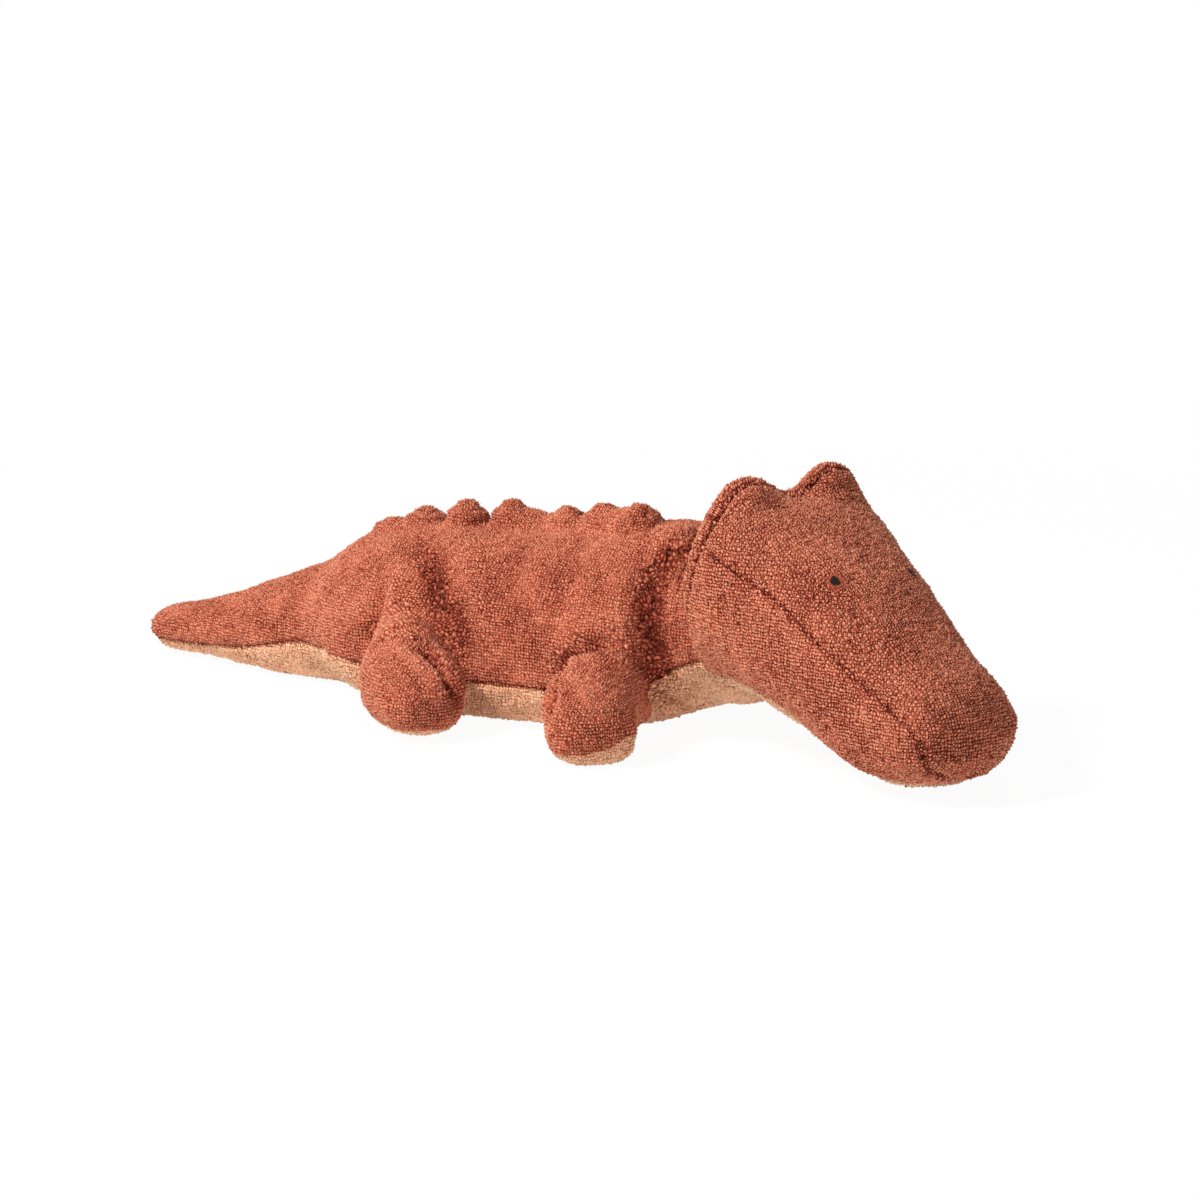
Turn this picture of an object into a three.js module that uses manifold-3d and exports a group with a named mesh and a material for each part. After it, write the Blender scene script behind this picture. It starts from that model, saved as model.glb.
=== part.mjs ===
// A plush crocodile in terry cloth, lying on its belly with its head turned to its right and drooping.
// Millimetres. +X runs towards the neck, +Z is up, and the origin is on the floor under the belly.
// The skin is made of sewn cloth panels, each a thin open shell, and each form holds its own stuffing.
import * as THREE from "three";
import { mergeVertices } from "three/addons/utils/BufferGeometryUtils.js";
import Module from "manifold-3d";

const wasm = await Module();
wasm.setup();

// Cloth and clearances
const clothThickness = 2.2; // terry cloth with its loops pressed flat
const seamGap = 0.3; // between two panels, and between a panel and its stuffing
const jointGap = 0.35; // least room round each ball on which a limb, the tail or the head turns
const crumbVolume = 1; // a cut can leave crumbs smaller than this, in cubic millimetres, which are dropped
const leastDetail = 0.03; // finer corners than this are evened out
const tinyShare = 1e-9; // where a search along a row stops
const flatDepth = 0.5; // how far the weight of the toy flattens the cloth on the floor
const overrun = 60; // how far a cutting block runs past what it cuts
const ellipse = 2; // squareness of a section that is a plain ellipse

// Torso
const rumpX = -138; // rear end of the torso
const torsoLength = 239; // rear end to the middle of the neck
const torsoWidth = 120;
const torsoHeight = 106;
const neckRadius = 46;
const neckHeight = 57; // middle of the neck above the floor
const neckOpeningRadius = 24; // the hole that the body is filled through, closed by the head

// Tail
const tailLength = 129; // its pivot to the tip
const tailRadius = 32; // half its height at the root
const tailPivotInset = 4; // from the rear end of the torso
const tailTipRadius = 10;
const tailTipWideShare = 0.72; // half-width of the last ring before the tip, of the tip's radius
const tailTipTallShare = 0.6; // half-height of that ring

// Legs
const frontLegInset = 45; // from the middle of the neck back to a front leg's root
const rearLegInset = 86; // from the rear end of the torso to a rear leg's root
const legReach = 50; // pivot to toe
const legRadius = 25; // half its height at the root
const legToeForward = 30; // how far the toe lies ahead of the root
const soleHeight = 7; // seam between upper and sole above the floor
const skinRimDepth = 7; // how far a limb's cloth runs into its socket

// Head, measured from the middle of the neck along its own heading
const headTurn = 23.5; // degrees to the toy's right
const headBack = 14;
const headLength = 164;
const headWidth = 106;
const headTop = 125.5; // top of the crown above the floor
const backSeamX = 33; // seam between the back panel and the rest
const browHeight = 21;
const browWidth = 42;
const browDepth = 28;
const browSpacing = 50;
const browLean = 14; // degrees outwards
const eyeWidth = 4.2;
const eyeLength = 6.4;
const eyeThickness = 0.8;
const eyeSpacing = 45;
const eyeX = 102;

// Back scutes
const scuteWidth = 21;
const scuteHeight = 11;
const scuteRoot = 6; // how far a scute's cone starts below the back before it is cut to it

// Faces round each ring: of the torso and head, of their inner faces, of a limb, and of its inner face
const fineAround = 20;
const coarseAround = 12;
const limbAround = 12;
const limbCoarseAround = 8;
const scuteAround = 8;
const ballAround = 12;
const socketAround = 14;
const neckBallAround = 14;
const eyeAround = 12;

// Rings along each form and along its inner face
const torsoRings = 13;
const torsoCoarseRings = 8;
const headRings = 13;
const headCoarseRings = 9;
const tailRings = 8;
const tailCoarseRings = 5;
const legRings = 6;
const legCoarseRings = 4;
const domeCount = 3; // rings of the neck's dome
const rootCount = 2; // rings of a limb's round root

const torsoHalf = torsoWidth / 2;
const neckX = rumpX + torsoLength;
const frontLegX = neckX - frontLegInset;
const rearLegX = rumpX + rearLegInset;
const pi = Math.PI;

// Torso outline, tail end to neck. Along and half-width are shares of the length and half the width, and the
// heights of the widest line, the top and the bottom are shares of the height. The last two numbers say how
// square the upper and the lower half of the section are, where 2 is an ellipse.
const torsoRowShares = [
  [0.0, 0.02, 0.34, 0.35, 0.33, 2, 2],
  [0.008, 0.36, 0.34, 0.5, 0.19, 2, 2],
  [0.033, 0.6, 0.34, 0.64, 0.07, 2, 2.2],
  [0.067, 0.72, 0.34, 0.72, 0.02, 2, 2.6],
  [0.109, 0.79, 0.35, 0.77, 0.0, 2.05, 3],
  [0.167, 0.86, 0.355, 0.805, 0.0, 2.1, 3.3],
  [0.243, 0.92, 0.36, 0.83, 0.0, 2.1, 3.5],
  [0.347, 0.97, 0.365, 0.845, 0.0, 2.1, 3.6],
  [0.473, 1.0, 0.37, 0.867, 0.0, 2.1, 3.6],
  [0.598, 1.0, 0.375, 0.892, 0.0, 2.1, 3.6],
  [0.724, 0.98, 0.385, 0.925, 0.0, 2.1, 3.5],
  [0.828, 0.93, 0.42, 0.955, 0.015, 2.05, 3],
  [0.914, 0.85, 0.48, 0.976, 0.055, 2, 2.5],
];

// Head outline in side view, back to snout. Along is a share of the length, the top and bottom are shares of
// the crown's height above the floor, and the half-width is a share of half the width.
const headRowShares = [
  // top: along, height; bottom: along, height; half-width; squareness above and below
  [0, 0.606, 0, 0.527, 0.02, 2, 2],
  [0.006, 0.86, 0.063, 0.244, 0.72, 2, 2],
  [0.03, 0.959, 0.082, 0.176, 0.91, 2.1, 2],
  [0.07, 0.999, 0.12, 0.143, 0.99, 2.1, 2.1],
  [0.13, 0.996, 0.176, 0.127, 1, 2.15, 2.2],
  [0.214, 0.977, 0.252, 0.115, 1, 2.2, 2.2],
  [0.302, 0.945, 0.34, 0.107, 0.965, 2.25, 2.3],
  [0.402, 0.89, 0.428, 0.101, 0.9, 2.3, 2.3],
  [0.497, 0.816, 0.522, 0.092, 0.825, 2.3, 2.4],
  [0.591, 0.731, 0.616, 0.079, 0.775, 2.3, 2.5],
  [0.679, 0.653, 0.704, 0.063, 0.73, 2.3, 2.6],
  [0.767, 0.581, 0.786, 0.05, 0.69, 2.3, 2.6],
  [0.843, 0.519, 0.855, 0.048, 0.66, 2.3, 2.6],
  [0.906, 0.457, 0.912, 0.051, 0.605, 2.3, 2.5],
  [0.956, 0.387, 0.956, 0.069, 0.51, 2.2, 2.3],
  [0.988, 0.305, 0.988, 0.11, 0.33, 2, 2],
  [1, 0.218, 1, 0.193, 0.02, 2, 2],
];

// Seam between the top of the head and its sides, and seam between the sides and the chin, in side view
const topSeamShares = [
  [-0.4, 0.875],
  [0.05, 0.828],
  [0.29, 0.749],
  [0.46, 0.667],
  [0.59, 0.569],
  [0.69, 0.485],
  [0.79, 0.41],
  [0.89, 0.345],
  [0.93, 0.244],
  [0.94, 0.132],
];
const chinSeamShares = [
  [-0.4, 0.351],
  [0.06, 0.335],
  [0.29, 0.316],
  [0.38, 0.291],
  [0.44, 0.255],
  [0.54, 0.177],
  [0.67, 0.12],
  [0.82, 0.0978],
  [1.4, 0.106],
];

// Seam between the side panels and the belly, shares of the length and of the height
const bellySeamShares = [
  [-0.4, 0.2],
  [0.1, 0.21],
  [0.6, 0.215],
  [0.8, 0.22],
  [0.9, 0.27],
  [0.97, 0.38],
  [1.05, 0.45],
  [1.4, 0.45],
];

// Tail outline: along is a share of the length, the half-width is a share of the root's radius, and the top
// and bottom are shares of twice it. The last number is the squareness of the lower half.
const tailRowShares = [
  [0.0, 0.985, 1.0, 0.0, 2],
  [0.14, 0.92, 0.925, 0.0, 2.05],
  [0.3, 0.82, 0.815, 0.0, 2.2],
  [0.5, 0.665, 0.675, 0.0, 2.3],
  [0.7, 0.52, 0.545, 0.008, 2.3],
  [0.86, 0.41, 0.44, 0.02, 2.3],
];
const tailSeamShares = [
  [-0.4, 0.38],
  [0.1, 0.36],
  [0.45, 0.2],
  [0.75, 0.14],
  [1.2, 0.13],
];

// Leg outline: along is a share of the reach, and the half-width, top and bottom are shares of the root's
// radius. The last number is the squareness of the lower half.
const legRowShares = [
  [0.0, 0.99, 2.0, 0.0, 2],
  [0.17, 0.95, 1.93, 0.0, 2.1],
  [0.36, 0.93, 1.8, 0.0, 2.4],
  [0.56, 0.88, 1.6, 0.0, 2.5],
  [0.74, 0.84, 1.4, 0.0, 2.5],
  [0.88, 0.71, 1.16, 0.02, 2.4],
  [0.965, 0.45, 0.92, 0.13, 2.2],
];
const toeHeightShare = 0.5; // height of the toe's foremost point, of the root's radius
const limbEndShare = 0.02; // radius of the little ring that closes a limb at each end, of the root's radius
const pivotOutShare = 0.945; // a leg's pivot across the body, of the half-width there

// Scutes: along the torso, across it towards the toy's left as a share of the half-width, and the height
const scuteShares = [
  [0.115, 0.0, 0.8],
  [0.225, 0.0, 0.95],
  [0.343, 0.0, 1.15],
  [0.454, 0.0, 1.15],
  [0.59, -0.02, 0.95],
  [0.678, -0.05, 1.05],
  [0.785, -0.13, 1.05],
  [0.9, -0.42, 0.9],
];

// Seam of a foot's sole. A front one climbs round the front of the foot: how far ahead of the root, as a share
// of legToeForward, and how far above soleHeight, as a share of legRadius.
const soleClimbShares = {
  front: [
    [0.67, 0],
    [1, 0.16],
    [1.2, 0.44],
    [1.33, 0.92],
  ],
  rear: [[0, 0]],
};

// Side of a scute, foot to tip: shares of half its width and of its height
const scuteOutlineShares = [
  [1.0, 0.0],
  [0.72, 0.55],
  [0.3, 0.95],
  [0.0, 1.0],
];

// Colours of the cloth, the thread and the fill
const terracotta = 0xb5583f;
const sand = 0xc79a70;
const black = 0x1e1a18;
const fill = 0xece6da;

// A closed geometry as a solid.
function solidOf(geometry) {
  const bare = geometry.clone();
  bare.deleteAttribute("normal");
  bare.deleteAttribute("uv");
  const merged = mergeVertices(bare);
  return new wasm.Manifold(
    new wasm.Mesh({
      numProp: 3,
      vertProperties: new Float32Array(merged.attributes.position.array),
      triVerts: new Uint32Array(merged.index.array),
    }),
  );
}

// A solid as a named mesh in one of the finishes.
function meshOf(name, solid, color, roughness) {
  const whole = solid.decompose().filter((body) => body.volume() > crumbVolume);
  const made = wasm.Manifold.compose(whole).simplify(leastDetail).getMesh();
  const geometry = new THREE.BufferGeometry();
  // Each triangle starts at its second corner, so that every piece reads back facing out.
  const corners = made.triVerts.map((_, i, all) => all[i - (i % 3) + ((i + 1) % 3)]);
  geometry.setAttribute("position", new THREE.BufferAttribute(made.vertProperties, 3));
  geometry.setIndex(new THREE.BufferAttribute(corners, 1));
  geometry.computeVertexNormals();
  const material = new THREE.MeshStandardMaterial({ color, roughness, metalness: 0 });
  const mesh = new THREE.Mesh(geometry, material);
  mesh.name = name;
  return mesh;
}

const clothRoughness = 0.95;
const threadRoughness = 0.45;
const fillRoughness = 1;

// A point at a fraction of the way through a table of rows, on a smooth curve through every row.
function rowAt(rows, fraction) {
  const last = rows.length - 1;
  const place = Math.min(Math.max(fraction, 0), 1) * last;
  const i = Math.min(Math.floor(place), last - 1);
  const t = place - i;
  const before = rows[Math.max(i - 1, 0)];
  const after = rows[Math.min(i + 2, last)];
  return rows[i].map((start, k) => {
    const end = rows[i + 1][k];
    const slopeStart = (end - before[k]) / 2;
    const slopeEnd = (after[k] - start) / 2;
    const tt = t * t;
    const ttt = tt * t;
    return (
      (2 * ttt - 3 * tt + 1) * start +
      (ttt - 2 * tt + t) * slopeStart +
      (3 * tt - 2 * ttt) * end +
      (ttt - tt) * slopeEnd
    );
  });
}

function smoothRows(rows, count) {
  return Array.from({ length: count }, (_, i) => rowAt(rows, i / (count - 1)));
}

// One ring of an oval section: across and up are its directions, and wide, rise and drop its reaches.
function ringPoints(ring, around) {
  return Array.from({ length: around }, (_, i) => {
    const angle = (2 * pi * i) / around;
    const c = Math.cos(angle);
    const s = Math.sin(angle);
    const power = 2 / (s > 0 ? ring.squareAbove : ring.squareBelow);
    const sideways = ring.wide * Math.sign(c) * Math.abs(c) ** power;
    const upwards = (s > 0 ? ring.rise : ring.drop) * Math.sign(s) * Math.abs(s) ** power;
    return ring.centre
      .clone()
      .addScaledVector(ring.across, sideways)
      .addScaledVector(ring.up, upwards);
  });
}

// A closed loft through rings, as points and triangles, facing out. Each end closes on its ring's centre.
function loft(rings, around) {
  const points = rings.flatMap((ring) => ringPoints(ring, around));
  points.push(rings[0].centre.clone(), rings[rings.length - 1].centre.clone());
  const triangles = [];
  for (let r = 0; r + 1 < rings.length; r++)
    for (let i = 0; i < around; i++) {
      const j = (i + 1) % around;
      const [a, b] = [r * around + i, r * around + j];
      const [c, d] = [a + around, b + around];
      triangles.push([a, b, d], [a, d, c]);
    }
  const end = (rings.length - 1) * around;
  for (let i = 0; i < around; i++) {
    const j = (i + 1) % around;
    triangles.push([points.length - 2, j, i], [points.length - 1, end + i, end + j]);
  }
  const form = { points, triangles };
  return volumeOf(form) < 0 ? { points, triangles: triangles.map(([a, b, c]) => [a, c, b]) } : form;
}

function volumeOf({ points, triangles }) {
  return triangles.reduce(
    (sum, [a, b, c]) => sum + points[a].dot(points[b].clone().cross(points[c])) / 6,
    0,
  );
}

// The form with every point moved out along its normal, or in where the distance is negative.
function grown({ points, triangles }, distance) {
  const normals = points.map(() => new THREE.Vector3());
  for (const [a, b, c] of triangles) {
    const side = points[b].clone().sub(points[a]);
    const face = side.cross(points[c].clone().sub(points[a]));
    for (const k of [a, b, c]) normals[k].add(face);
  }
  const moved = points.map((p, i) => p.clone().addScaledVector(normals[i].normalize(), distance));
  return { points: moved, triangles };
}

function formSolid({ points, triangles }) {
  const geometry = new THREE.BufferGeometry().setFromPoints(points);
  geometry.setIndex(triangles.flat());
  return solidOf(geometry);
}

function ball(radius, centre, around) {
  const geometry = new THREE.SphereGeometry(radius, around, around / 2);
  geometry.rotateX(pi / 2);
  geometry.translate(centre.x, centre.y, centre.z);
  return solidOf(geometry);
}

// A ball whose flat faces all lie outside the radius, to cut a socket with.
function roomyBall(radius, centre, around) {
  return ball(radius / Math.cos(pi / around) ** 2, centre, around);
}

function block(low, high) {
  const size = high.clone().sub(low);
  const geometry = new THREE.BoxGeometry(size.x, size.y, size.z);
  const middle = low.clone().add(high).divideScalar(2);
  geometry.translate(middle.x, middle.y, middle.z);
  return solidOf(geometry);
}

// Everything above a line drawn in side view, lifted by a distance, as a wide block.
function aboveLine(line, lift, ceiling) {
  const first = line[0];
  const last = line[line.length - 1];
  const outline = [...line.map(([x, z]) => [x, z + lift]), [last[0], ceiling], [first[0], ceiling]];
  const shape = new THREE.Shape(outline.map(([x, z]) => new THREE.Vector2(x, z)));
  const depth = 2 * (torsoHalf + overrun);
  const geometry = new THREE.ExtrudeGeometry(shape, { depth, bevelEnabled: false });
  geometry.rotateX(pi / 2);
  geometry.translate(0, depth / 2, 0);
  return solidOf(geometry);
}

const reach = torsoLength + tailLength + headLength + overrun;
const up = new THREE.Vector3(0, 0, 1);
const left = new THREE.Vector3(0, 1, 0);
const neckCentre = new THREE.Vector3(neckX, 0, neckHeight);
const highCorner = new THREE.Vector3(reach, reach, reach);
const lowCorner = new THREE.Vector3(-reach, -reach, -reach);
const leftOfMiddle = block(new THREE.Vector3(-reach, seamGap / 2, -reach), highCorner);
const rightOfMiddle = block(lowCorner, new THREE.Vector3(reach, -seamGap / 2, reach));
const aboveFloor = block(new THREE.Vector3(-reach, -reach, 0), highCorner);

// Torso: rows from the rump to the neck, where it ends in a dome that the head turns on
const torsoRows = torsoRowShares.map(([along, wide, widest, top, bottom, above, below]) => [
  rumpX + along * torsoLength,
  wide * torsoHalf,
  widest * torsoHeight,
  top * torsoHeight,
  bottom * torsoHeight - (bottom === 0 ? flatDepth : 0),
  above,
  below,
]);
torsoRows.push([
  neckX,
  neckRadius,
  neckHeight,
  neckHeight + neckRadius,
  neckHeight - neckRadius,
  2,
  2,
]);

function torsoRing([x, wide, widest, top, bottom, squareAbove, squareBelow]) {
  const centre = new THREE.Vector3(x, 0, widest);
  const rise = top - widest;
  const drop = widest - bottom;
  return { centre, across: left, up, wide, rise, drop, squareAbove, squareBelow };
}

function torsoForm(count, around) {
  const rings = smoothRows(torsoRows, count).map(torsoRing);
  for (let i = 1; i < domeCount; i++) {
    const angle = ((pi / 2) * i) / domeCount;
    const radius = neckRadius * Math.cos(angle);
    const x = neckX + neckRadius * Math.sin(angle);
    const top = neckHeight + radius;
    const bottom = neckHeight - radius;
    rings.push(torsoRing([x, radius, neckHeight, top, bottom, ellipse, ellipse]));
  }
  const tip = neckX + neckRadius;
  rings.push(torsoRing([tip, 0, neckHeight, neckHeight, neckHeight, ellipse, ellipse]));
  return openEnd(loft(rings, around), around, rings.length);
}

// A loft whose last ring has shrunk to a point: that ring's points are merged into one.
function openEnd({ points, triangles }, around, ringCount) {
  const from = (ringCount - 1) * around;
  const pole = points.length - 1;
  const swap = (k) => (k >= from && k < from + around ? pole : k);
  const kept = triangles
    .map((t) => t.map(swap))
    .filter(([a, b, c]) => a !== b && b !== c && a !== c);
  const used = [...new Set(kept.flat())].sort((a, b) => a - b);
  const place = new Map(used.map((k, i) => [k, i]));
  return {
    points: used.map((k) => points[k]),
    triangles: kept.map((t) => t.map((k) => place.get(k))),
  };
}

// Half-width and top of the torso at a place along it
function torsoAt(x) {
  let low = 0;
  let high = 1;
  while (high - low > tinyShare) {
    const middle = (low + high) / 2;
    if (rowAt(torsoRows, middle)[0] < x) low = middle;
    else high = middle;
  }
  const [, wide, widest, top] = rowAt(torsoRows, low);
  return { wide, widest, top };
}

function roundSection(radius) {
  return { wide: radius, rise: radius, drop: radius, squareAbove: ellipse, squareBelow: ellipse };
}

// Limbs. Each is a loft that starts as a half ball round its pivot and follows a bent line to its tip.
function limbForm(rows, pivot, radius, place, tip, count, around) {
  const rings = [];
  const start = place(0);
  for (let i = rootCount; i > 0; i--) {
    const angle = ((pi / 2) * i) / rootCount;
    const size = i === rootCount ? radius * limbEndShare : radius * Math.cos(angle);
    const centre = pivot.clone().addScaledVector(start.forward, -radius * Math.sin(angle));
    const across = start.across;
    rings.push({ centre, across, up, ...roundSection(size) });
  }
  for (const [along, wide, top, bottom, squareBelow] of smoothRows(rows, count)) {
    const at = place(along);
    const middle = (top + bottom) / 2;
    const centre = new THREE.Vector3(at.point.x, at.point.y, middle);
    const half = (top - bottom) / 2;
    const section = { wide, rise: half, drop: half, squareAbove: ellipse, squareBelow };
    rings.push({ centre, across: at.across, up, ...section });
  }
  const at = place(tip.along);
  const centre = new THREE.Vector3(at.point.x, at.point.y, tip.height);
  rings.push({ centre, across: at.across, up, ...roundSection(radius * limbEndShare) });
  return loft(rings, around);
}

// Tail
const tailPivot = new THREE.Vector3(rumpX + tailPivotInset, 0, tailRadius);
const tailWay = new THREE.Vector3(-1, 0, 0);
const tailRows = tailRowShares.map(([along, wide, top, bottom, square]) => [
  along * tailLength,
  wide * tailRadius,
  top * 2 * tailRadius,
  bottom === 0 ? -flatDepth : bottom * 2 * tailRadius,
  square,
]);
const [, , tailEndTop, tailEndBottom] = tailRows[tailRows.length - 1];
const tailEndMiddle = (tailEndTop + tailEndBottom) / 2;
tailRows.push([
  tailLength - tailTipRadius / 4,
  tailTipRadius * tailTipWideShare,
  tailEndMiddle + tailTipRadius * tailTipTallShare,
  tailEndMiddle - tailTipRadius * tailTipTallShare,
  2,
]);
const tailTip = { along: tailLength, height: tailEndMiddle };

function tailPlace(along) {
  const point = tailPivot.clone().addScaledVector(tailWay, along);
  return { point, forward: tailWay, across: left };
}

function tailForm(count, around) {
  return limbForm(tailRows, tailPivot, tailRadius, tailPlace, tailTip, count, around);
}

// A leg on the toy's right. The one on its left is its mirror image.
function legOf(x) {
  const pivot = new THREE.Vector3(x, -pivotOutShare * torsoAt(x).wide, legRadius);
  const out = new THREE.Vector3(0, -1, 0);
  const ahead = new THREE.Vector3(1, 0, 0);
  const place = (along) => {
    const share = along / legReach;
    const shift = legToeForward * share * share;
    const slope = (2 * legToeForward * share) / legReach;
    const point = pivot.clone().addScaledVector(out, along).addScaledVector(ahead, shift);
    const forward = out.clone().addScaledVector(ahead, slope).normalize();
    return { point, forward, across: up.clone().cross(forward) };
  };
  const rows = legRowShares.map(([along, wide, top, bottom, square]) => [
    along * legReach,
    wide * legRadius,
    top * legRadius,
    bottom === 0 ? -flatDepth : bottom * legRadius,
    square,
  ]);
  const tip = { along: legReach, height: toeHeightShare * legRadius };
  const form = (count, around) => limbForm(rows, pivot, legRadius, place, tip, count, around);
  return { pivot, out, form };
}

const legs = { front: legOf(frontLegX), rear: legOf(rearLegX) };

// Cloth shell and stuffing of a limb. The cloth stops at a rim inside the socket, and the stuffing fills the
// ball.
function limbSkin(fine, coarse, pivot, out) {
  const rimAt = pivot.clone().addScaledVector(out, -skinRimDepth);
  const outer = formSolid(fine).intersect(aboveFloor);
  const inner = formSolid(grown(coarse, -clothThickness));
  const beyondRim = beyond(rimAt, out);
  return outer.subtract(inner).intersect(beyondRim);
}

function limbFill(coarse, pivot, out) {
  const rootAt = pivot.clone().addScaledVector(out, -skinRimDepth - seamGap);
  const inner = formSolid(grown(coarse, -clothThickness - seamGap));
  const root = formSolid(grown(coarse, -seamGap)).intersect(beyond(rootAt, out.clone().negate()));
  return root.add(inner);
}

// The half of space on one side of a point, along a level direction that follows X or Y.
function beyond(point, way) {
  const low = lowCorner.clone();
  const high = highCorner.clone();
  if (way.x > 0) low.x = point.x;
  if (way.x < 0) high.x = point.x;
  if (way.y > 0) low.y = point.y;
  if (way.y < 0) high.y = point.y;
  return block(low, high);
}

const crocodile = new THREE.Group();

// Torso panels and stuffing
const torsoFine = torsoForm(torsoRings, fineAround);
const torsoCoarse = torsoForm(torsoCoarseRings, coarseAround);
const torsoSolid = formSolid(torsoFine).intersect(aboveFloor);
const sockets = [roomyBall(tailRadius + jointGap, tailPivot, socketAround)];
for (const leg of Object.values(legs)) {
  const socket = roomyBall(legRadius + jointGap, leg.pivot, socketAround);
  sockets.push(socket, socket.mirror([0, 1, 0]));
}
const allSockets = sockets.reduce((sum, socket) => sum.add(socket));
const openingLength = neckRadius;
const opening = new THREE.CylinderGeometry(
  neckOpeningRadius,
  neckOpeningRadius,
  openingLength,
  coarseAround,
);
opening.rotateZ(pi / 2);
opening.translate(neckX + neckRadius, 0, neckHeight);
const torsoSkin = torsoSolid
  .subtract(formSolid(grown(torsoCoarse, -clothThickness)))
  .subtract(allSockets)
  .subtract(solidOf(opening));

const bellySeam = bellySeamShares.map(([x, z]) => [rumpX + x * torsoLength, z * torsoHeight]);
const torsoSides = torsoSkin.intersect(aboveLine(bellySeam, seamGap / 2, reach));
const belly = torsoSkin.subtract(aboveLine(bellySeam, -seamGap / 2, reach));
crocodile.add(
  meshOf("side_panel_left", torsoSides.intersect(leftOfMiddle), terracotta, clothRoughness),
  meshOf("side_panel_right", torsoSides.intersect(rightOfMiddle), terracotta, clothRoughness),
  meshOf("belly_panel", belly, sand, clothRoughness),
);

const domeInsideRadius =
  (neckRadius - clothThickness) * Math.cos(pi / coarseAround) * Math.cos(pi / (4 * domeCount));
const neckBallRadius = domeInsideRadius - seamGap;
const behindNeck = beyond(neckCentre, new THREE.Vector3(-1, 0, 0));
const torsoFill = formSolid(grown(torsoCoarse, -clothThickness - seamGap))
  .subtract(allSockets)
  .subtract(roomyBall(neckBallRadius + seamGap, neckCentre, neckBallAround))
  .intersect(behindNeck);
crocodile.add(meshOf("torso_stuffing", torsoFill, fill, fillRoughness));
crocodile.add(
  meshOf("neck_stuffing", ball(neckBallRadius, neckCentre, neckBallAround), fill, fillRoughness),
);

// Scutes: rounded cones cut to the back
const torsoCover = formSolid(grown(torsoFine, seamGap));
scuteShares.forEach(([along, across, tall], i) => {
  const x = rumpX + along * torsoLength;
  const { wide, widest, top } = torsoAt(x);
  const y = across * wide;
  const z = widest + (top - widest) * Math.sqrt(1 - across * across);
  const radius = scuteWidth / 2;
  const profile = scuteOutlineShares.map(([r, h]) => [r * radius, h * tall * scuteHeight]);
  const outline = [[0, -scuteRoot], [radius, -scuteRoot], ...profile];
  const cone = new THREE.LatheGeometry(
    outline.map(([r, h]) => new THREE.Vector2(r, h)),
    scuteAround,
  );
  cone.rotateX(pi / 2);
  cone.rotateX(-Math.asin(across));
  cone.translate(x, y, z);
  const scute = solidOf(cone).subtract(torsoCover);
  crocodile.add(meshOf("scute_" + (i + 1), scute, terracotta, clothRoughness));
});

// Tail panels and stuffing
const tailFine = tailForm(tailRings, limbAround);
const tailCoarse = tailForm(tailCoarseRings, limbCoarseAround);
const tailSkin = limbSkin(tailFine, tailCoarse, tailPivot, tailWay);
const tailSeam = tailSeamShares.map(([x, z]) => [tailPivot.x - x * tailLength, z * 2 * tailRadius]).reverse();
const tailSides = tailSkin.intersect(aboveLine(tailSeam, seamGap / 2, reach));
const tailUnder = tailSkin.subtract(aboveLine(tailSeam, -seamGap / 2, reach));
crocodile.add(
  meshOf("tail_panel_left", tailSides.intersect(leftOfMiddle), terracotta, clothRoughness),
  meshOf("tail_panel_right", tailSides.intersect(rightOfMiddle), terracotta, clothRoughness),
  meshOf("tail_under_panel", tailUnder, sand, clothRoughness),
  meshOf("tail_stuffing", limbFill(tailCoarse, tailPivot, tailWay), fill, fillRoughness),
);

// Legs: upper, sole and stuffing
function soleSeamOf(place) {
  const root = legs[place].pivot.x;
  const climb = soleClimbShares[place].map(([x, z]) => [root + x * legToeForward, soleHeight + z * legRadius]);
  return [[-reach, soleHeight], ...climb, [reach, climb[climb.length - 1][1]]];
}

for (const [place, leg] of Object.entries(legs)) {
  const soleSeam = soleSeamOf(place);
  const fine = leg.form(legRings, limbAround);
  const coarse = leg.form(legCoarseRings, limbCoarseAround);
  const skin = limbSkin(fine, coarse, leg.pivot, leg.out);
  const upper = skin.intersect(aboveLine(soleSeam, seamGap / 2, reach));
  const sole = skin.subtract(aboveLine(soleSeam, -seamGap / 2, reach));
  const stuffing = limbFill(coarse, leg.pivot, leg.out);
  for (const side of ["left", "right"]) {
    const name = "leg_" + place + "_" + side;
    const placed = (solid) => (side === "left" ? solid.mirror([0, 1, 0]) : solid);
    crocodile.add(
      meshOf(name + "_upper", placed(upper), terracotta, clothRoughness),
      meshOf(name + "_sole", placed(sole), sand, clothRoughness),
      meshOf(name + "_stuffing", placed(stuffing), fill, fillRoughness),
    );
  }
}

// Head, built straight ahead of the middle of the neck and then turned with its group
const head = new THREE.Group();
head.position.copy(neckCentre);
head.rotation.z = (-headTurn * pi) / 180;
crocodile.add(head);

const headRows = headRowShares.map(([topX, topZ, lowX, lowZ, wide, above, below]) => [
  headBack + topX * headLength,
  topZ * headTop - neckHeight,
  headBack + lowX * headLength,
  lowZ * headTop - neckHeight,
  (wide * headWidth) / 2,
  above,
  below,
]);

function headForm(count, around) {
  const rings = smoothRows(headRows, count).map(([topX, topZ, lowX, lowZ, wide, above, below]) => {
    const top = new THREE.Vector3(topX, 0, topZ);
    const low = new THREE.Vector3(lowX, 0, lowZ);
    const centre = top.clone().add(low).divideScalar(2);
    const half = top.distanceTo(low) / 2;
    const ringUp = top.sub(low).normalize();
    return {
      centre,
      across: left,
      up: ringUp,
      wide,
      rise: half,
      drop: half,
      squareAbove: above,
      squareBelow: below,
    };
  });
  return loft(rings, around);
}

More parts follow.
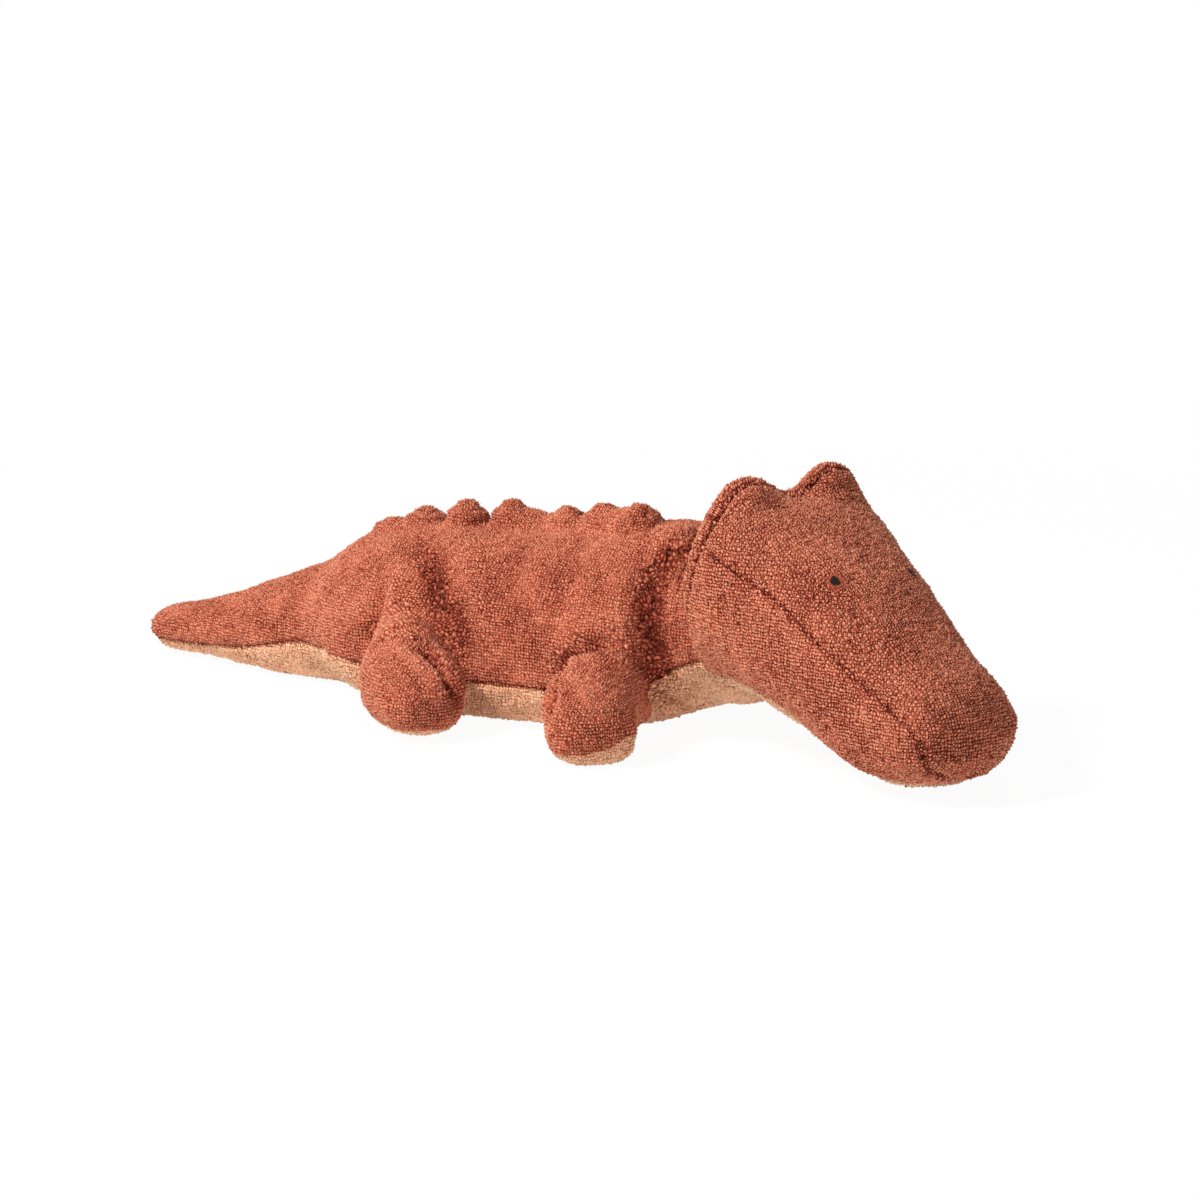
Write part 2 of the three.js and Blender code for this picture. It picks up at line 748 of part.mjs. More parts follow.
const headFine = headForm(headRings, fineAround);
const headCoarse = headForm(headCoarseRings, coarseAround);
const atNeck = new THREE.Vector3(0, 0, 0);
const headFloor = new THREE.Vector3(-reach, -reach, -neckHeight);
const socketRadius = neckRadius + jointGap;

function brow(side) {
  const geometry = new THREE.SphereGeometry(1, ballAround, ballAround / 2);
  geometry.scale(browDepth / 2, browWidth / 2, browHeight);
  geometry.rotateX((-side * browLean * pi) / 180);
  const top = headTop - neckHeight;
  geometry.translate(backSeamX + seamGap, (side * browSpacing) / 2, top - browHeight / 2);
  return solidOf(geometry);
}

// The back panel dips in round the neck as a hollow that the head turns on.
const socketCloth = roomyBall(socketRadius + clothThickness, atNeck, neckBallAround);
const socketRoom = roomyBall(socketRadius + clothThickness + seamGap, atNeck, neckBallAround);
const headSolid = formSolid(headFine)
  .add(brow(1))
  .add(brow(-1))
  .intersect(block(headFloor, highCorner));
const headInside = formSolid(grown(headCoarse, -clothThickness)).subtract(socketCloth);
const headSkin = headSolid
  .subtract(roomyBall(socketRadius, atNeck, neckBallAround))
  .subtract(headInside);
const headFill = formSolid(grown(headCoarse, -clothThickness - seamGap)).subtract(socketRoom);

const topSeam = topSeamShares.map(([x, z]) => [headBack + x * headLength, z * headTop - neckHeight]);
const chinSeam = chinSeamShares.map(([x, z]) => [headBack + x * headLength, z * headTop - neckHeight]);
const behindSeam = (x) => block(lowCorner, new THREE.Vector3(x, reach, reach));
const backZone = behindSeam(backSeamX - seamGap / 2).add(socketCloth);
const headFront = headSkin.subtract(behindSeam(backSeamX + seamGap / 2).add(socketRoom));
const [noseX] = topSeam[topSeam.length - 1];
const [, chinZ] = chinSeam[chinSeam.length - 1];
const topLine = [...topSeam, [noseX + seamGap, chinZ], [reach, chinZ]];
const sideBand = headFront
  .subtract(aboveLine(topLine, -seamGap / 2, reach))
  .intersect(aboveLine(chinSeam, seamGap / 2, reach));
const gusset = headFront.intersect(aboveLine(topLine, seamGap / 2, reach));
const chin = headFront.subtract(aboveLine(chinSeam, -seamGap / 2, reach));
head.add(
  meshOf("head_back_panel", headSkin.intersect(backZone), terracotta, clothRoughness),
  meshOf("head_top_gusset", gusset, terracotta, clothRoughness),
  meshOf("head_side_left", sideBand.intersect(leftOfMiddle), terracotta, clothRoughness),
  meshOf("head_side_right", sideBand.intersect(rightOfMiddle), terracotta, clothRoughness),
  meshOf("chin_panel", chin, sand, clothRoughness),
  meshOf("head_stuffing", headFill, fill, fillRoughness),
);

// Eyes: thin ovals of thread that lie on the cloth
const eyeLayer = formSolid(grown(headFine, seamGap + eyeThickness)).subtract(
  formSolid(grown(headFine, seamGap)),
);
for (const [name, side] of [
  ["eye_left", 1],
  ["eye_right", -1],
]) {
  const oval = new THREE.CylinderGeometry(eyeWidth / 2, eyeWidth / 2, headTop, eyeAround);
  oval.scale(eyeLength / eyeWidth, 1, 1);
  oval.rotateX(pi / 2);
  oval.translate(eyeX, (side * eyeSpacing) / 2, headTop / 2);
  head.add(meshOf(name, eyeLayer.intersect(solidOf(oval)), black, threadRoughness));
}

export default crocodile;
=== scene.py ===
import math

import bpy
import numpy as np
import openvdb
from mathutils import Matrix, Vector
from mathutils.bvhtree import BVHTree


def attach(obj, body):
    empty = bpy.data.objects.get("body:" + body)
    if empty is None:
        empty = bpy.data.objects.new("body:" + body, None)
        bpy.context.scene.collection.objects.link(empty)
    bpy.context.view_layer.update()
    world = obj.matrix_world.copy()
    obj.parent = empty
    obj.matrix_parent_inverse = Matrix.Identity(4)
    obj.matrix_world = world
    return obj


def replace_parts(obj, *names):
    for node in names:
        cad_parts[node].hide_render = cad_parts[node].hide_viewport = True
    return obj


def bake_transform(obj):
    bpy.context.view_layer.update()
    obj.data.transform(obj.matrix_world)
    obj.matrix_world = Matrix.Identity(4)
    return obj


# Plush crocodile in terry cloth, lying on its belly with its head turned and drooping.
# Forms are worked out in millimetres and the pieces are made in metres.
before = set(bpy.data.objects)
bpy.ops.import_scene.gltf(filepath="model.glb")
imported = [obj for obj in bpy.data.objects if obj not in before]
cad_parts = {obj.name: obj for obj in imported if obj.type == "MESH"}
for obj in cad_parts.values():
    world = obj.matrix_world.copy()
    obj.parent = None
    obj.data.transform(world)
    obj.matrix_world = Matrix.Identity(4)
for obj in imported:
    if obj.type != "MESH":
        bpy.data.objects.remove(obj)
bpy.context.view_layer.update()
millimetre = 0.001
pi = math.pi

# Camera: a third of the way round from the toy's right side to its front, and a little above it
camera = {"turn": 31.5, "rise": 13.39, "distance": 1800.0, "scale": 1.956, "origin": (564.7, 706.4), "frame": 1200,
          "sensor": 36}


def cameraAxes():
    turn, rise = math.radians(camera["turn"]), math.radians(camera["rise"])
    right = np.array([math.cos(turn), math.sin(turn), 0])
    ahead = np.array([-math.sin(turn) * math.cos(rise), math.cos(turn) * math.cos(rise), -math.sin(rise)])
    return right, ahead, np.cross(right, ahead)


def addObject(name, data):
    item = bpy.data.objects.new(name, data)
    bpy.context.scene.collection.objects.link(item)
    return item


def placeCamera():
    right, ahead, up = cameraAxes()
    focal = camera["scale"] * camera["distance"]
    middle = camera["frame"] / 2
    aim = ahead + right * (middle - camera["origin"][0]) / focal + up * (camera["origin"][1] - middle) / focal
    data = bpy.data.cameras.new("camera")
    data.sensor_width = camera["sensor"]
    data.lens = camera["sensor"] * focal / camera["frame"]
    data.clip_start = 0.1
    data.clip_end = 20
    item = addObject("camera", data)
    item.location = Vector(-ahead * camera["distance"] * millimetre)
    item.rotation_euler = Vector(aim).to_track_quat("-Z", "Y").to_euler()
    bpy.context.scene.camera = item


placeCamera()
print("camera placed")


# Rows of numbers, sampled on a smooth curve through every row
def rowsAt(rows, count):
    rows = np.array(rows, float)
    last = len(rows) - 1
    place = np.linspace(0, last, count)
    i = np.minimum(place.astype(int), last - 1)
    t = (place - i)[:, None]
    before, start, end, after = rows[np.maximum(i - 1, 0)], rows[i], rows[i + 1], rows[np.minimum(i + 2, last)]
    slopeStart, slopeEnd = (end - before) / 2, (after - start) / 2
    return ((2 * t**3 - 3 * t**2 + 1) * start + (t**3 - 2 * t**2 + t) * slopeStart
            + (3 * t**2 - 2 * t**3) * end + (t**3 - t**2) * slopeEnd)


def unit(vectors):
    return vectors / np.maximum(np.linalg.norm(vectors, axis=-1, keepdims=True), 1e-12)


# A closed form through oval rings. Each ring has a centre, the directions across and up, and its reaches.
def loft(centre, across, up, wide, rise, drop, above=2, below=2, around=96):
    n = len(wide)
    above, below = np.broadcast_to(above, n), np.broadcast_to(below, n)
    angle = np.linspace(0, 2 * pi, around, endpoint=False)
    c, s = np.cos(angle), np.sin(angle)
    power = 2 / np.where(s > 0, np.reshape(above, (n, 1)), np.reshape(below, (n, 1)))
    side = np.reshape(wide, (n, 1)) * np.sign(c) * np.abs(c) ** power
    reach = np.where(s > 0, np.reshape(rise, (n, 1)), np.reshape(drop, (n, 1)))
    height = reach * np.sign(s) * np.abs(s) ** power
    rings = centre[:, None] + across[:, None] * side[..., None] + up[:, None] * height[..., None]
    points = np.vstack([rings.reshape(-1, 3), centre[:1], centre[-1:]])
    j = np.arange(around)
    k = (j + 1) % around
    quads = np.vstack([np.stack([r + j, r + k, r + around + k, r + around + j], 1)
                       for r in range(0, (n - 1) * around, around)])
    end = (n - 1) * around
    caps = np.vstack([np.stack([np.full(around, n * around), k, j], 1),
                      np.stack([np.full(around, n * around + 1), end + j, end + k], 1)])
    return points, quads, caps


def same(direction, count):
    return np.tile(np.array(direction, float), (count, 1))


# Torso, from the rump to the neck: distance along, half-width, heights of the widest line, top and bottom,
# and how square the upper and lower halves of the section are
torso = {
    "rows": [
        [-138, 1.2, 36, 37.1, 35, 2, 2],
        [-136.1, 21.6, 36, 53, 20.1, 2, 2],
        [-130.1, 36, 36, 67.8, 7.4, 2, 2.2],
        [-122, 43.2, 36, 76.3, 3, 2, 2.4],
        [-111.9, 47.4, 37.1, 80.5, 0.8, 2.05, 2.9],
        [-98.1, 51.6, 37.6, 84.6, 0, 2.1, 3.6],
        [-79.9, 55.2, 38.2, 88, 0, 2.1, 4.3],
        [-55.1, 58.2, 38.7, 89.6, 0, 2.1, 6.2],
        [-25, 60, 39.2, 92.4, 0, 2.1, 5.8],
        [4.9, 60, 39.8, 94.7, 0, 2.1, 4.4],
        [35, 58.8, 40.8, 97.6, 0.6, 2.1, 3.9],
        [59.9, 55.8, 44.5, 101.2, 3, 2.05, 3.1],
        [80.4, 46.2, 50.9, 100.8, 9.8, 2, 2.5],
        [101, 45.4, 57, 99, 15.7, 2, 2],
    ],
    # middle of the neck, and the reach of its domed end upwards and downwards
    "neck": (101.0, 57.0), "dome": 45.4, "domeBelow": 41.3,
}


def torsoForm():
    rows = rowsAt(torso["rows"], 110)
    x, height = torso["neck"]
    angle = np.linspace(0, pi / 2, 24)[1:-1]
    radius = torso["dome"] * np.cos(angle)
    more = np.stack([x + torso["dome"] * np.sin(angle), radius, height + 0 * angle, height + radius,
                     height - torso["domeBelow"] * np.cos(angle), 2 + 0 * angle, 2 + 0 * angle], 1)
    rows = np.vstack([rows, more])
    x, wide, widest, top, bottom, above, below = rows.T
    centre = np.stack([x, 0 * x, widest], 1)
    n = len(x)
    return loft(centre, same([0, 1, 0], n), same([0, 0, 1], n), wide, top - widest, widest - bottom, above, below)


# Limbs: each starts as a half ball round its pivot and follows a bent line to its tip
def limbForm(rows, pivot, radius, place, tipHeight):
    angle = np.linspace(pi / 2, 0, 14)[:-1]
    _, forward, startAcross = place(np.zeros(len(angle)))
    start = np.array(pivot) - forward * (radius * np.sin(angle))[:, None]
    size = np.maximum(radius * np.cos(angle), 0.5)
    along, wide, top, bottom, below = rowsAt(rows, 60).T
    middle, _, across = place(along)
    middle[:, 2] = (top + bottom) / 2
    half = (top - bottom) / 2
    tip, _, tipAcross = place(np.array([tipHeight[0]]))
    tip[:, 2] = tipHeight[1]
    centre = np.vstack([start, middle, tip])
    shape = np.vstack([np.stack([size, size, size, 2 + 0 * size, 2 + 0 * size], 1),
                       np.stack([wide, half, half, 2 + 0 * half, below], 1), [[0.5, 0.5, 0.5, 2, 2]]])
    return loft(centre, np.vstack([startAcross, across, tipAcross]), same([0, 0, 1], len(centre)), *shape.T)


# Tail: distance from its pivot, half-width, top, bottom, squareness of the lower half
tail = {
    "pivot": (-134.0, 0.0, 32.0), "radius": 32.0, "tip": (129.0, 14.7),
    "rows": [
        [0, 31.5, 64, 0, 2.4],
        [18.1, 29.4, 59.2, 0, 2.9],
        [38.7, 26.2, 51.2, 0.2, 2.8],
        [64.5, 21.3, 40.8, 1.2, 2.4],
        [90.3, 16.6, 32.8, 3, 2.1],
        [110.9, 13.1, 28, 3.4, 2.2],
        [120.5, 10.6, 24.6, 4.4, 2.1],
        [126.5, 6.4, 20.6, 8.4, 2],
    ],
}


def tailPlace(along):
    n = len(along)
    return np.array(tail["pivot"]) + same([-1, 0, 0], n) * along[:, None], same([-1, 0, 0], n), same([0, 1, 0], n)


# Legs: distance from the pivot, half-width, top, bottom, squareness of the lower half
leg = {
    "radius": {"front": 20.5, "rear": 24.0}, "reach": {"front": 51.2, "rear": 46.8},
    "toeForward": {"front": 24.8, "rear": 37.5}, "bend": {"front": 1.75, "rear": 2.0},
    # how far from the leg's own form its cloth reaches, and the height of its tip
    "edge": 3.2, "tip": 12.5,
    # seam of the sole: distance ahead of the root and height
    "soleClimb": {"front": [[0, 7], [20, 7], [30, 10], [36, 16], [41, 30]], "rear": [[0, 7]]},
    "pivots": {"front": (56.0, 53.33, 25.0), "rear": (-50.6, 55.243, 25.0)},
    "rows": {
        "front": [
            [0, 20.5, 44, 0, 2],
            [8.5, 20.8, 45.5, 0, 2.1],
            [18, 20.8, 44.4, 0, 2.6],
            [28, 21, 41, 0, 2.9],
            [37.5, 20.9, 36.4, 0, 3],
            [45, 18.8, 30.6, 0.3, 2.7],
            [49.5, 12.4, 23.6, 3, 2.2],
        ],
        "rear": [
            [0, 24, 50, 0, 2],
            [8.5, 24.2, 49.4, 0.2, 2.1],
            [18, 24.2, 47, 0.8, 2.4],
            [27, 23, 43, 2.4, 2.4],
            [35.5, 21, 38, 4, 2.4],
            [42, 17.6, 32, 4.6, 2.4],
            [46, 11.6, 25.5, 7.8, 2.2],
        ],
    },
}


def legPlace(name, side):
    pivot, reach, toeForward = leg["pivots"][name], leg["reach"][name], leg["toeForward"][name]
    bend = leg["bend"][name]

    def place(along):
        share = along / reach
        n = len(along)
        out, ahead = same([0, side, 0], n), same([1, 0, 0], n)
        point = np.array(pivot) * [1, side, 1] + out * along[:, None]
        point = point + ahead * (toeForward * share**bend)[:, None]
        forward = unit(out + ahead * (bend * toeForward * share ** (bend - 1) / reach)[:, None])
        return point, forward, unit(np.cross(same([0, 0, 1], n), forward))
    return place


def legForm(name, side):
    pivot = np.array(leg["pivots"][name]) * [1, side, 1]
    tip = (leg["reach"][name], leg["tip"])
    return limbForm(leg["rows"][name], pivot, leg["radius"][name], legPlace(name, side), tip)


# Head, straight ahead of the middle of the neck: each row gives the top point and the bottom point in side
# view and the half-width, as shares of length, top and width, and the squareness above and below
head = {
    "turn": -23.5, "neck": (101.0, 0.0, 57.0), "back": 14.0, "length": 164.0, "top": 125.5, "width": 106.0,
    # the hollow round the neck, how far its cloth reaches out of it, and where the loops begin
    "socket": 47.0, "lining": 2.5, "loopsFrom": 3,
    "rows": [
        [0, 0.606, 0, 0.527, 0.02, 2, 2],
        [0.006, 0.86, 0.063, 0.25, 0.8, 2, 2.1],
        [0.03, 0.955, 0.082, 0.19, 0.95, 2.2, 2.1],
        [0.07, 0.985, 0.12, 0.205, 1.01, 2.9, 2.1],
        [0.13, 0.985, 0.176, 0.215, 1.03, 3.5, 2.1],
        [0.214, 0.965, 0.252, 0.202, 1.015, 3.5, 2.1],
        [0.302, 0.93, 0.34, 0.165, 0.95, 2.9, 2.15],
        [0.402, 0.872, 0.428, 0.14, 0.87, 2.6, 2.3],
        [0.497, 0.805, 0.522, 0.112, 0.82, 2.55, 2.7],
        [0.591, 0.726, 0.616, 0.078, 0.77, 2.45, 3.1],
        [0.679, 0.638, 0.704, 0.052, 0.72, 2.4, 3.3],
        [0.767, 0.558, 0.786, 0.036, 0.67, 2.4, 3.2],
        [0.843, 0.498, 0.855, 0.042, 0.64, 2.45, 2.9],
        [0.91, 0.448, 0.912, 0.062, 0.595, 2.45, 2.6],
        [0.965, 0.385, 0.96, 0.1, 0.515, 2.3, 2.3],
        [0.996, 0.31, 0.992, 0.145, 0.35, 2, 2],
        [1.008, 0.225, 1.006, 0.2, 0.02, 2, 2],
    ],
    # brow bumps: centre along, across and up, the three half-sizes, and the lean outwards
    "brows": [{"centre": (33.4, 28.0, 57.3), "half": (14.0, 19.0, 22.0), "lean": 8.0},
              {"centre": (34.0, -21.0, 55.4), "half": (14.0, 20.5, 21.0), "lean": 8.0}],
    "topSeam": [[-0.4, 0.9], [0.05, 0.86], [0.162, 0.825], [0.354, 0.717], [0.47, 0.638], [0.6, 0.526],
                [0.722, 0.44], [0.829, 0.361], [0.91, 0.308], [0.944, 0.262], [0.952, 0.19], [0.954, 0.12]],
    "chinSeam": [[-0.4, 0.33], [0.06, 0.31], [0.29, 0.292], [0.38, 0.268], [0.44, 0.23], [0.5, 0.16], [0.58, 0.1],
                 [0.67, 0.075], [0.82, 0.062], [1.4, 0.07]],
    # seam of the back panel: distance along at each height
    "backSeam": [[-60.0, 14.0], [-14.0, 18.0], [7.0, 23.0], [35.0, 31.0], [55.0, 37.0], [90.0, 37.0]],
}


def headForm():
    topX, topZ, lowX, lowZ, wide, above, below = rowsAt(head["rows"], 130).T
    top, low = (np.stack([head["back"] + x * head["length"], 0 * x, z * head["top"] - head["neck"][2]], 1)
                for x, z in ((topX, topZ), (lowX, lowZ)))
    half = np.linalg.norm(top - low, axis=1) / 2
    return loft((top + low) / 2, same([0, 1, 0], len(half)), unit(top - low), wide * head["width"] / 2, half, half,
                above, below)


def browForm(spec):
    angle = np.linspace(0.02, pi - 0.02, 40)
    size = np.sin(angle)
    centre = np.stack([0 * angle, 0 * angle, -np.cos(angle)], 1)
    n = len(angle)
    points, quads, caps = loft(centre, same([1, 0, 0], n), same([0, 1, 0], n), size, size, size, around=48)
    points = points * spec["half"]
    lean = math.radians(spec["lean"] * (-1 if spec["centre"][1] > 0 else 1))
    y, z = points[:, 1].copy(), points[:, 2].copy()
    points[:, 1] = y * math.cos(lean) - z * math.sin(lean)
    points[:, 2] = y * math.sin(lean) + z * math.cos(lean)
    return points + spec["centre"], quads, caps


# Distance fields: millimetres outside a form, negative inside
voxel = 1.6
band = 8
loopHeight = 1.12


class Space:
    def __init__(self, low, high):
        self.low = np.floor(np.array(low) / voxel).astype(int)
        self.shape = tuple(np.ceil(np.array(high) / voxel).astype(int) - self.low + 1)
        axes = [(self.low[k] + np.arange(self.shape[k])) * voxel for k in range(3)]
        self.x, self.y, self.z = np.meshgrid(*axes, indexing="ij", sparse=True)

    def distance(self, form):
        points, quads, caps = form
        grid = openvdb.FloatGrid.createLevelSetFromPolygons(
            points.astype(np.float32), triangles=caps.astype(np.uint32), quads=quads.astype(np.uint32),
            transform=openvdb.createLinearTransform(voxelSize=voxel), halfWidth=band)
        values = np.zeros(self.shape, np.float32)
        grid.copyToArray(values, ijk=tuple(int(k) for k in self.low))
        return values

    def surface(self, values):
        grid = openvdb.FloatGrid(float(band * voxel))
        grid.transform = openvdb.createLinearTransform(voxelSize=voxel)
        grid.copyFromArray(values.astype(np.float32), ijk=tuple(int(k) for k in self.low), tolerance=0)
        points, _, quads = grid.convertToPolygons(0.0, 0.0)
        return np.array(points, float), quads.astype(np.int32)


# Union and cut with a soft corner of the given width
def joined(a, b, width):
    near = np.maximum(width - np.abs(a - b), 0) / width
    return np.minimum(a, b) - near * near * width / 4


def cutBy(a, b, width):
    return -joined(-a, b, width)


def volumeOf(points, tris):
    a, b, c = (points[tris[:, k]] for k in range(3))
    return np.einsum("ij,ij->i", a, np.cross(b, c)).sum() / 6


def meshOf(name, points, faces):
    mesh = bpy.data.meshes.new(name)
    size = faces.shape[1]
    mesh.vertices.add(len(points))
    mesh.vertices.foreach_set("co", np.asarray(points, np.float32).ravel())
    mesh.loops.add(faces.size)
    mesh.loops.foreach_set("vertex_index", np.asarray(faces, np.int32).ravel())
    mesh.polygons.add(len(faces))
    mesh.polygons.foreach_set("loop_start", np.arange(len(faces), dtype=np.int32) * size)
    mesh.update(calc_edges=True)
    mesh.shade_smooth()
    return mesh


# The surface of a field with each face cut in four and smoothed, as points and triangles facing out.
# The corners that the faces had before come first.
def smoothSurface(points, faces, levels):
    mesh = meshOf("form", points, faces)
    item = addObject("form", mesh)
    if levels:
        modifier = item.modifiers.new("finer", "SUBSURF")
        modifier.levels = modifier.render_levels = levels
    made = item.evaluated_get(bpy.context.evaluated_depsgraph_get()).to_mesh()
    made.calc_loop_triangles()
    co = np.empty(len(made.vertices) * 3)
    made.vertices.foreach_get("co", co)
    tris = np.empty(len(made.loop_triangles) * 3, int)
    made.loop_triangles.foreach_get("vertices", tris)
    bpy.data.objects.remove(item)
    bpy.data.meshes.remove(mesh)
    points, tris = co.reshape(-1, 3), tris.reshape(-1, 3)
    if volumeOf(points, tris) < 0:
        tris = tris[:, ::-1]
    return points, tris


def normalsOf(points, tris):
    a, b, c = (points[tris[:, k]] for k in range(3))
    face = np.cross(b - a, c - a)
    normals = np.zeros_like(points)
    for k in range(3):
        for axis in range(3):
            normals[:, axis] += np.bincount(tris[:, k], face[:, axis], len(points))
    return unit(normals)


# Cuts every triangle that crosses zero in value, so that a seam follows a smooth line.
# carried holds more numbers per point, which the new points get too.
def cutAlong(points, tris, value, carried, snap=0.2):
    value = np.where(np.abs(value) < snap, 0, value)
    sign = np.sign(value)[tris]
    crossing = (sign.min(1) < 0) & (sign.max(1) > 0)
    kept, cut = tris[~crossing], tris[crossing]
    if not len(cut):
        return points, tris, carried
    edges = np.vstack([cut[:, [0, 1]], cut[:, [1, 2]], cut[:, [2, 0]]])
    edges = edges[value[edges[:, 0]] * value[edges[:, 1]] < 0]
    edges = np.unique(np.sort(edges, 1), axis=0)
    share = value[edges[:, 0]] / (value[edges[:, 0]] - value[edges[:, 1]])

    def between(array):
        shape = (-1,) + (1,) * (array.ndim - 1)
        a, b = array[edges[:, 0]], array[edges[:, 1]]
        return np.concatenate([array, a + (b - a) * share.reshape(shape)])

    total = len(points)
    key = edges[:, 0].astype(np.int64) * total + edges[:, 1]
    order = np.argsort(key)

    def middle(a, b):
        wanted = np.minimum(a, b).astype(np.int64) * total + np.maximum(a, b)
        return total + order[np.searchsorted(key, wanted, sorter=order)]

    new = []
    signs = np.sign(value)[cut]
    onLine = (signs == 0).any(1)
    for turn in range(3):
        rolled, s = np.roll(cut, -turn, 1), np.roll(signs, -turn, 1)
        pick = onLine & (s[:, 0] == 0)
        a, b, c = rolled[pick].T
        if len(a):
            m = middle(b, c)
            new += [np.stack([a, b, m], 1), np.stack([a, m, c], 1)]
        pick = ~onLine & (s[:, 1] == s[:, 2]) & (s[:, 0] != s[:, 1])
        a, b, c = rolled[pick].T
        if len(a):
            m, n = middle(a, b), middle(a, c)
            new += [np.stack([a, m, n], 1), np.stack([m, b, c], 1), np.stack([m, c, n], 1)]
    points = between(points)
    return points, np.vstack([kept, *new]), {k: between(v) for k, v in carried.items()}


# Terry loops: every corner that the surface had before it was made finer is the tip of a loop, and the
# corners between them lie in the gaps. Gives each point's height over the cloth and its tone, 0 in a gap; the
# material turns that tone into painted shade in the gaps and painted light on the tips.
# Shares of loopHeight, with the level that lies on the form. Drift and shake move points, in millimetres.
loop = {"tip": 0.86, "spread": 0.22, "lowest": 0.2, "highest": 1.15, "gap": 0.25, "level": 0.4, "drift": 0.17,
        "shake": 0.45}


def terryLoops(count, coarse, seed):
    random = np.random.default_rng(seed)
    tip = np.zeros(count)
    tip[:coarse] = random.normal(loop["tip"], loop["spread"], coarse).clip(loop["lowest"], loop["highest"])
    tip[coarse:] = random.uniform(0, loop["gap"], count - coarse)
    return {"tip": tip, "drift": random.normal(0, loop["drift"], (count, 3))}


def shaken(count, seed):
    return np.random.default_rng(seed).normal(0, loop["shake"], (count, 3))


# The eight corners of the cell that each place lies in, and how much each corner counts
def cellCorners(cell, t):
    for corner in range(8):
        step = np.array([corner & 1, corner >> 1 & 1, corner >> 2 & 1])
        yield cell + step, np.prod(np.where(step, t, 1 - t), 1)


# Smooth random numbers from -1 to 1 with the given grain, the same on every run
def softNoise(points, grain, seed):
    lattice = np.random.default_rng(seed).uniform(-1, 1, (64, 64, 64))
    place = points / grain + 1000
    cell = np.floor(place).astype(int)
    t = place - cell
    t = t * t * (3 - 2 * t)
    total = 0
    for i, weight in cellCorners(cell, t):
        i = i % 64
        total = total + lattice[i[:, 0], i[:, 1], i[:, 2]] * weight
    return total


# Slow lumps of the stuffing under the cloth. large and small hold height and grain in millimetres.
def lumpy(points, large, small, seed):
    return large[0] * softNoise(points, large[1], seed) + small[0] * softNoise(points, small[1], seed + 1)


def smoothStep(low, high, value):
    t = np.clip((value - low) / (high - low), 0, 1)
    return t * t * (3 - 2 * t)


# Distance from each point to a line of points, and how far along it the nearest place is, from 0 to 1
def nearLine(points, line):
    line = np.array(line, float)
    lengths = np.linalg.norm(np.diff(line, axis=0), axis=1)
    best = np.full(len(points), 1e9)
    along = np.zeros(len(points))
    done = 0.0
    for a, b, length in zip(line[:-1], line[1:], lengths):
        way = b - a
        t = np.clip((points - a) @ way / max(length**2, 1e-9), 0, 1)
        gap = np.linalg.norm(points - a - t[:, None] * way, axis=1)
        closer = gap < best
        best = np.where(closer, gap, best)
        along = np.where(closer, (done + t * length) / lengths.sum(), along)
        done += length
    return best, along


# A fold of cloth: a valley with a raised bank on each side, fading at both ends
def foldDepth(points, line, width, depth):
    gap, along = nearLine(points, line)
    t = (gap / width) ** 2
    return -depth * (1 - t) * np.exp(-t / 2) * np.sqrt(np.clip(np.sin(pi * np.clip(along, 0.02, 0.98)), 0, 1))


# Grooves along the seams, and the low bank beside the head's back seam: width and depth in millimetres
groove = {"belly": (2.0, 1.1), "tail": (2.0, 1.1), "back": (1.8, 0.7), "headBack": (2.2, 3.0),
          "headBank": (2.5, 1.2), "headTop": (2.6, 1.4), "chin": (1.8, 1.0)}


def grooveDepth(gap, width, depth):
    return -depth * np.exp(-((gap / width) ** 2))


# Along a seam the loops lie lower, and their tone there is painted shade
def seamShade(gap):
    return 0.3 * np.exp(-((gap / 1.1) ** 2))


# Places seen at pixels of the 1200 x 1200 view, on the surface that carries them
def seenAt(tree, pixels):
    right, ahead, up = cameraAxes()
    focal = camera["scale"] * camera["distance"]
    eye = -ahead * camera["distance"]
    found = []
    for px, py in pixels:
        way = ahead + right * (px - camera["origin"][0]) / focal - up * (py - camera["origin"][1]) / focal
        place = tree.ray_cast(Vector(eye), Vector(way))[0]
        if place is not None:
            found.append(list(place))
    return found


def finerLine(pixels, step=12):
    made = []
    for a, b in zip(pixels[:-1], pixels[1:]):
        n = max(1, int(math.dist(a, b) / step))
        made += [(a[0] + (b[0] - a[0]) * k / n, a[1] + (b[1] - a[1]) * k / n) for k in range(n)]
    return made + [pixels[-1]]


# Scutes: small filled cones along the back, from the tail to the neck: distance along, place across as a share
# of the half-width, and height
scute = {
    "radius": 10.6, "edge": 4.2,
    "places": [[-103.5, 0, 5.6], [-84.2, 0, 9.2], [-58.0, 0, 13.0], [-31.0, 0, 13.6], [3.0, -0.02, 9.8],
               [25.0, -0.05, 12.2], [48.6, -0.13, 11.7], [76.5, -0.42, 7.2]],
    # low ridges of the cloth between two scutes, in the same three numbers
    "ridges": [[-16.5, 0, 6.8], [36.5, -0.09, 8.0]],
}


def sectionAt(x):
    rows = rowsAt(torso["rows"], 400)
    return [np.interp(x, rows[:, 0], rows[:, k]) for k in (1, 2, 3)]


def scuteForm(x, across, tall):
    wide, widest, top = sectionAt(x)
    foot = np.array([x, across * wide, widest + (top - widest) * math.sqrt(1 - across**2)])
    lean = math.asin(across)
    way = np.array([0, math.sin(lean), math.cos(lean)])
    outline = rowsAt([[1.15, -6], [1.0, 0], [0.8, 0.42], [0.56, 0.76], [0.3, 0.96], [0.03, 1.0]], 24)
    height = np.where(outline[:, 1] < 0, outline[:, 1], outline[:, 1] * tall)
    height[0] = -5
    radius = outline[:, 0] * scute["radius"]
    n = len(radius)
    side = np.cross(way, [1, 0, 0])
    return loft(foot + way * height[:, None], same([1, 0, 0], n), same(side, n), radius, radius, radius, around=48)


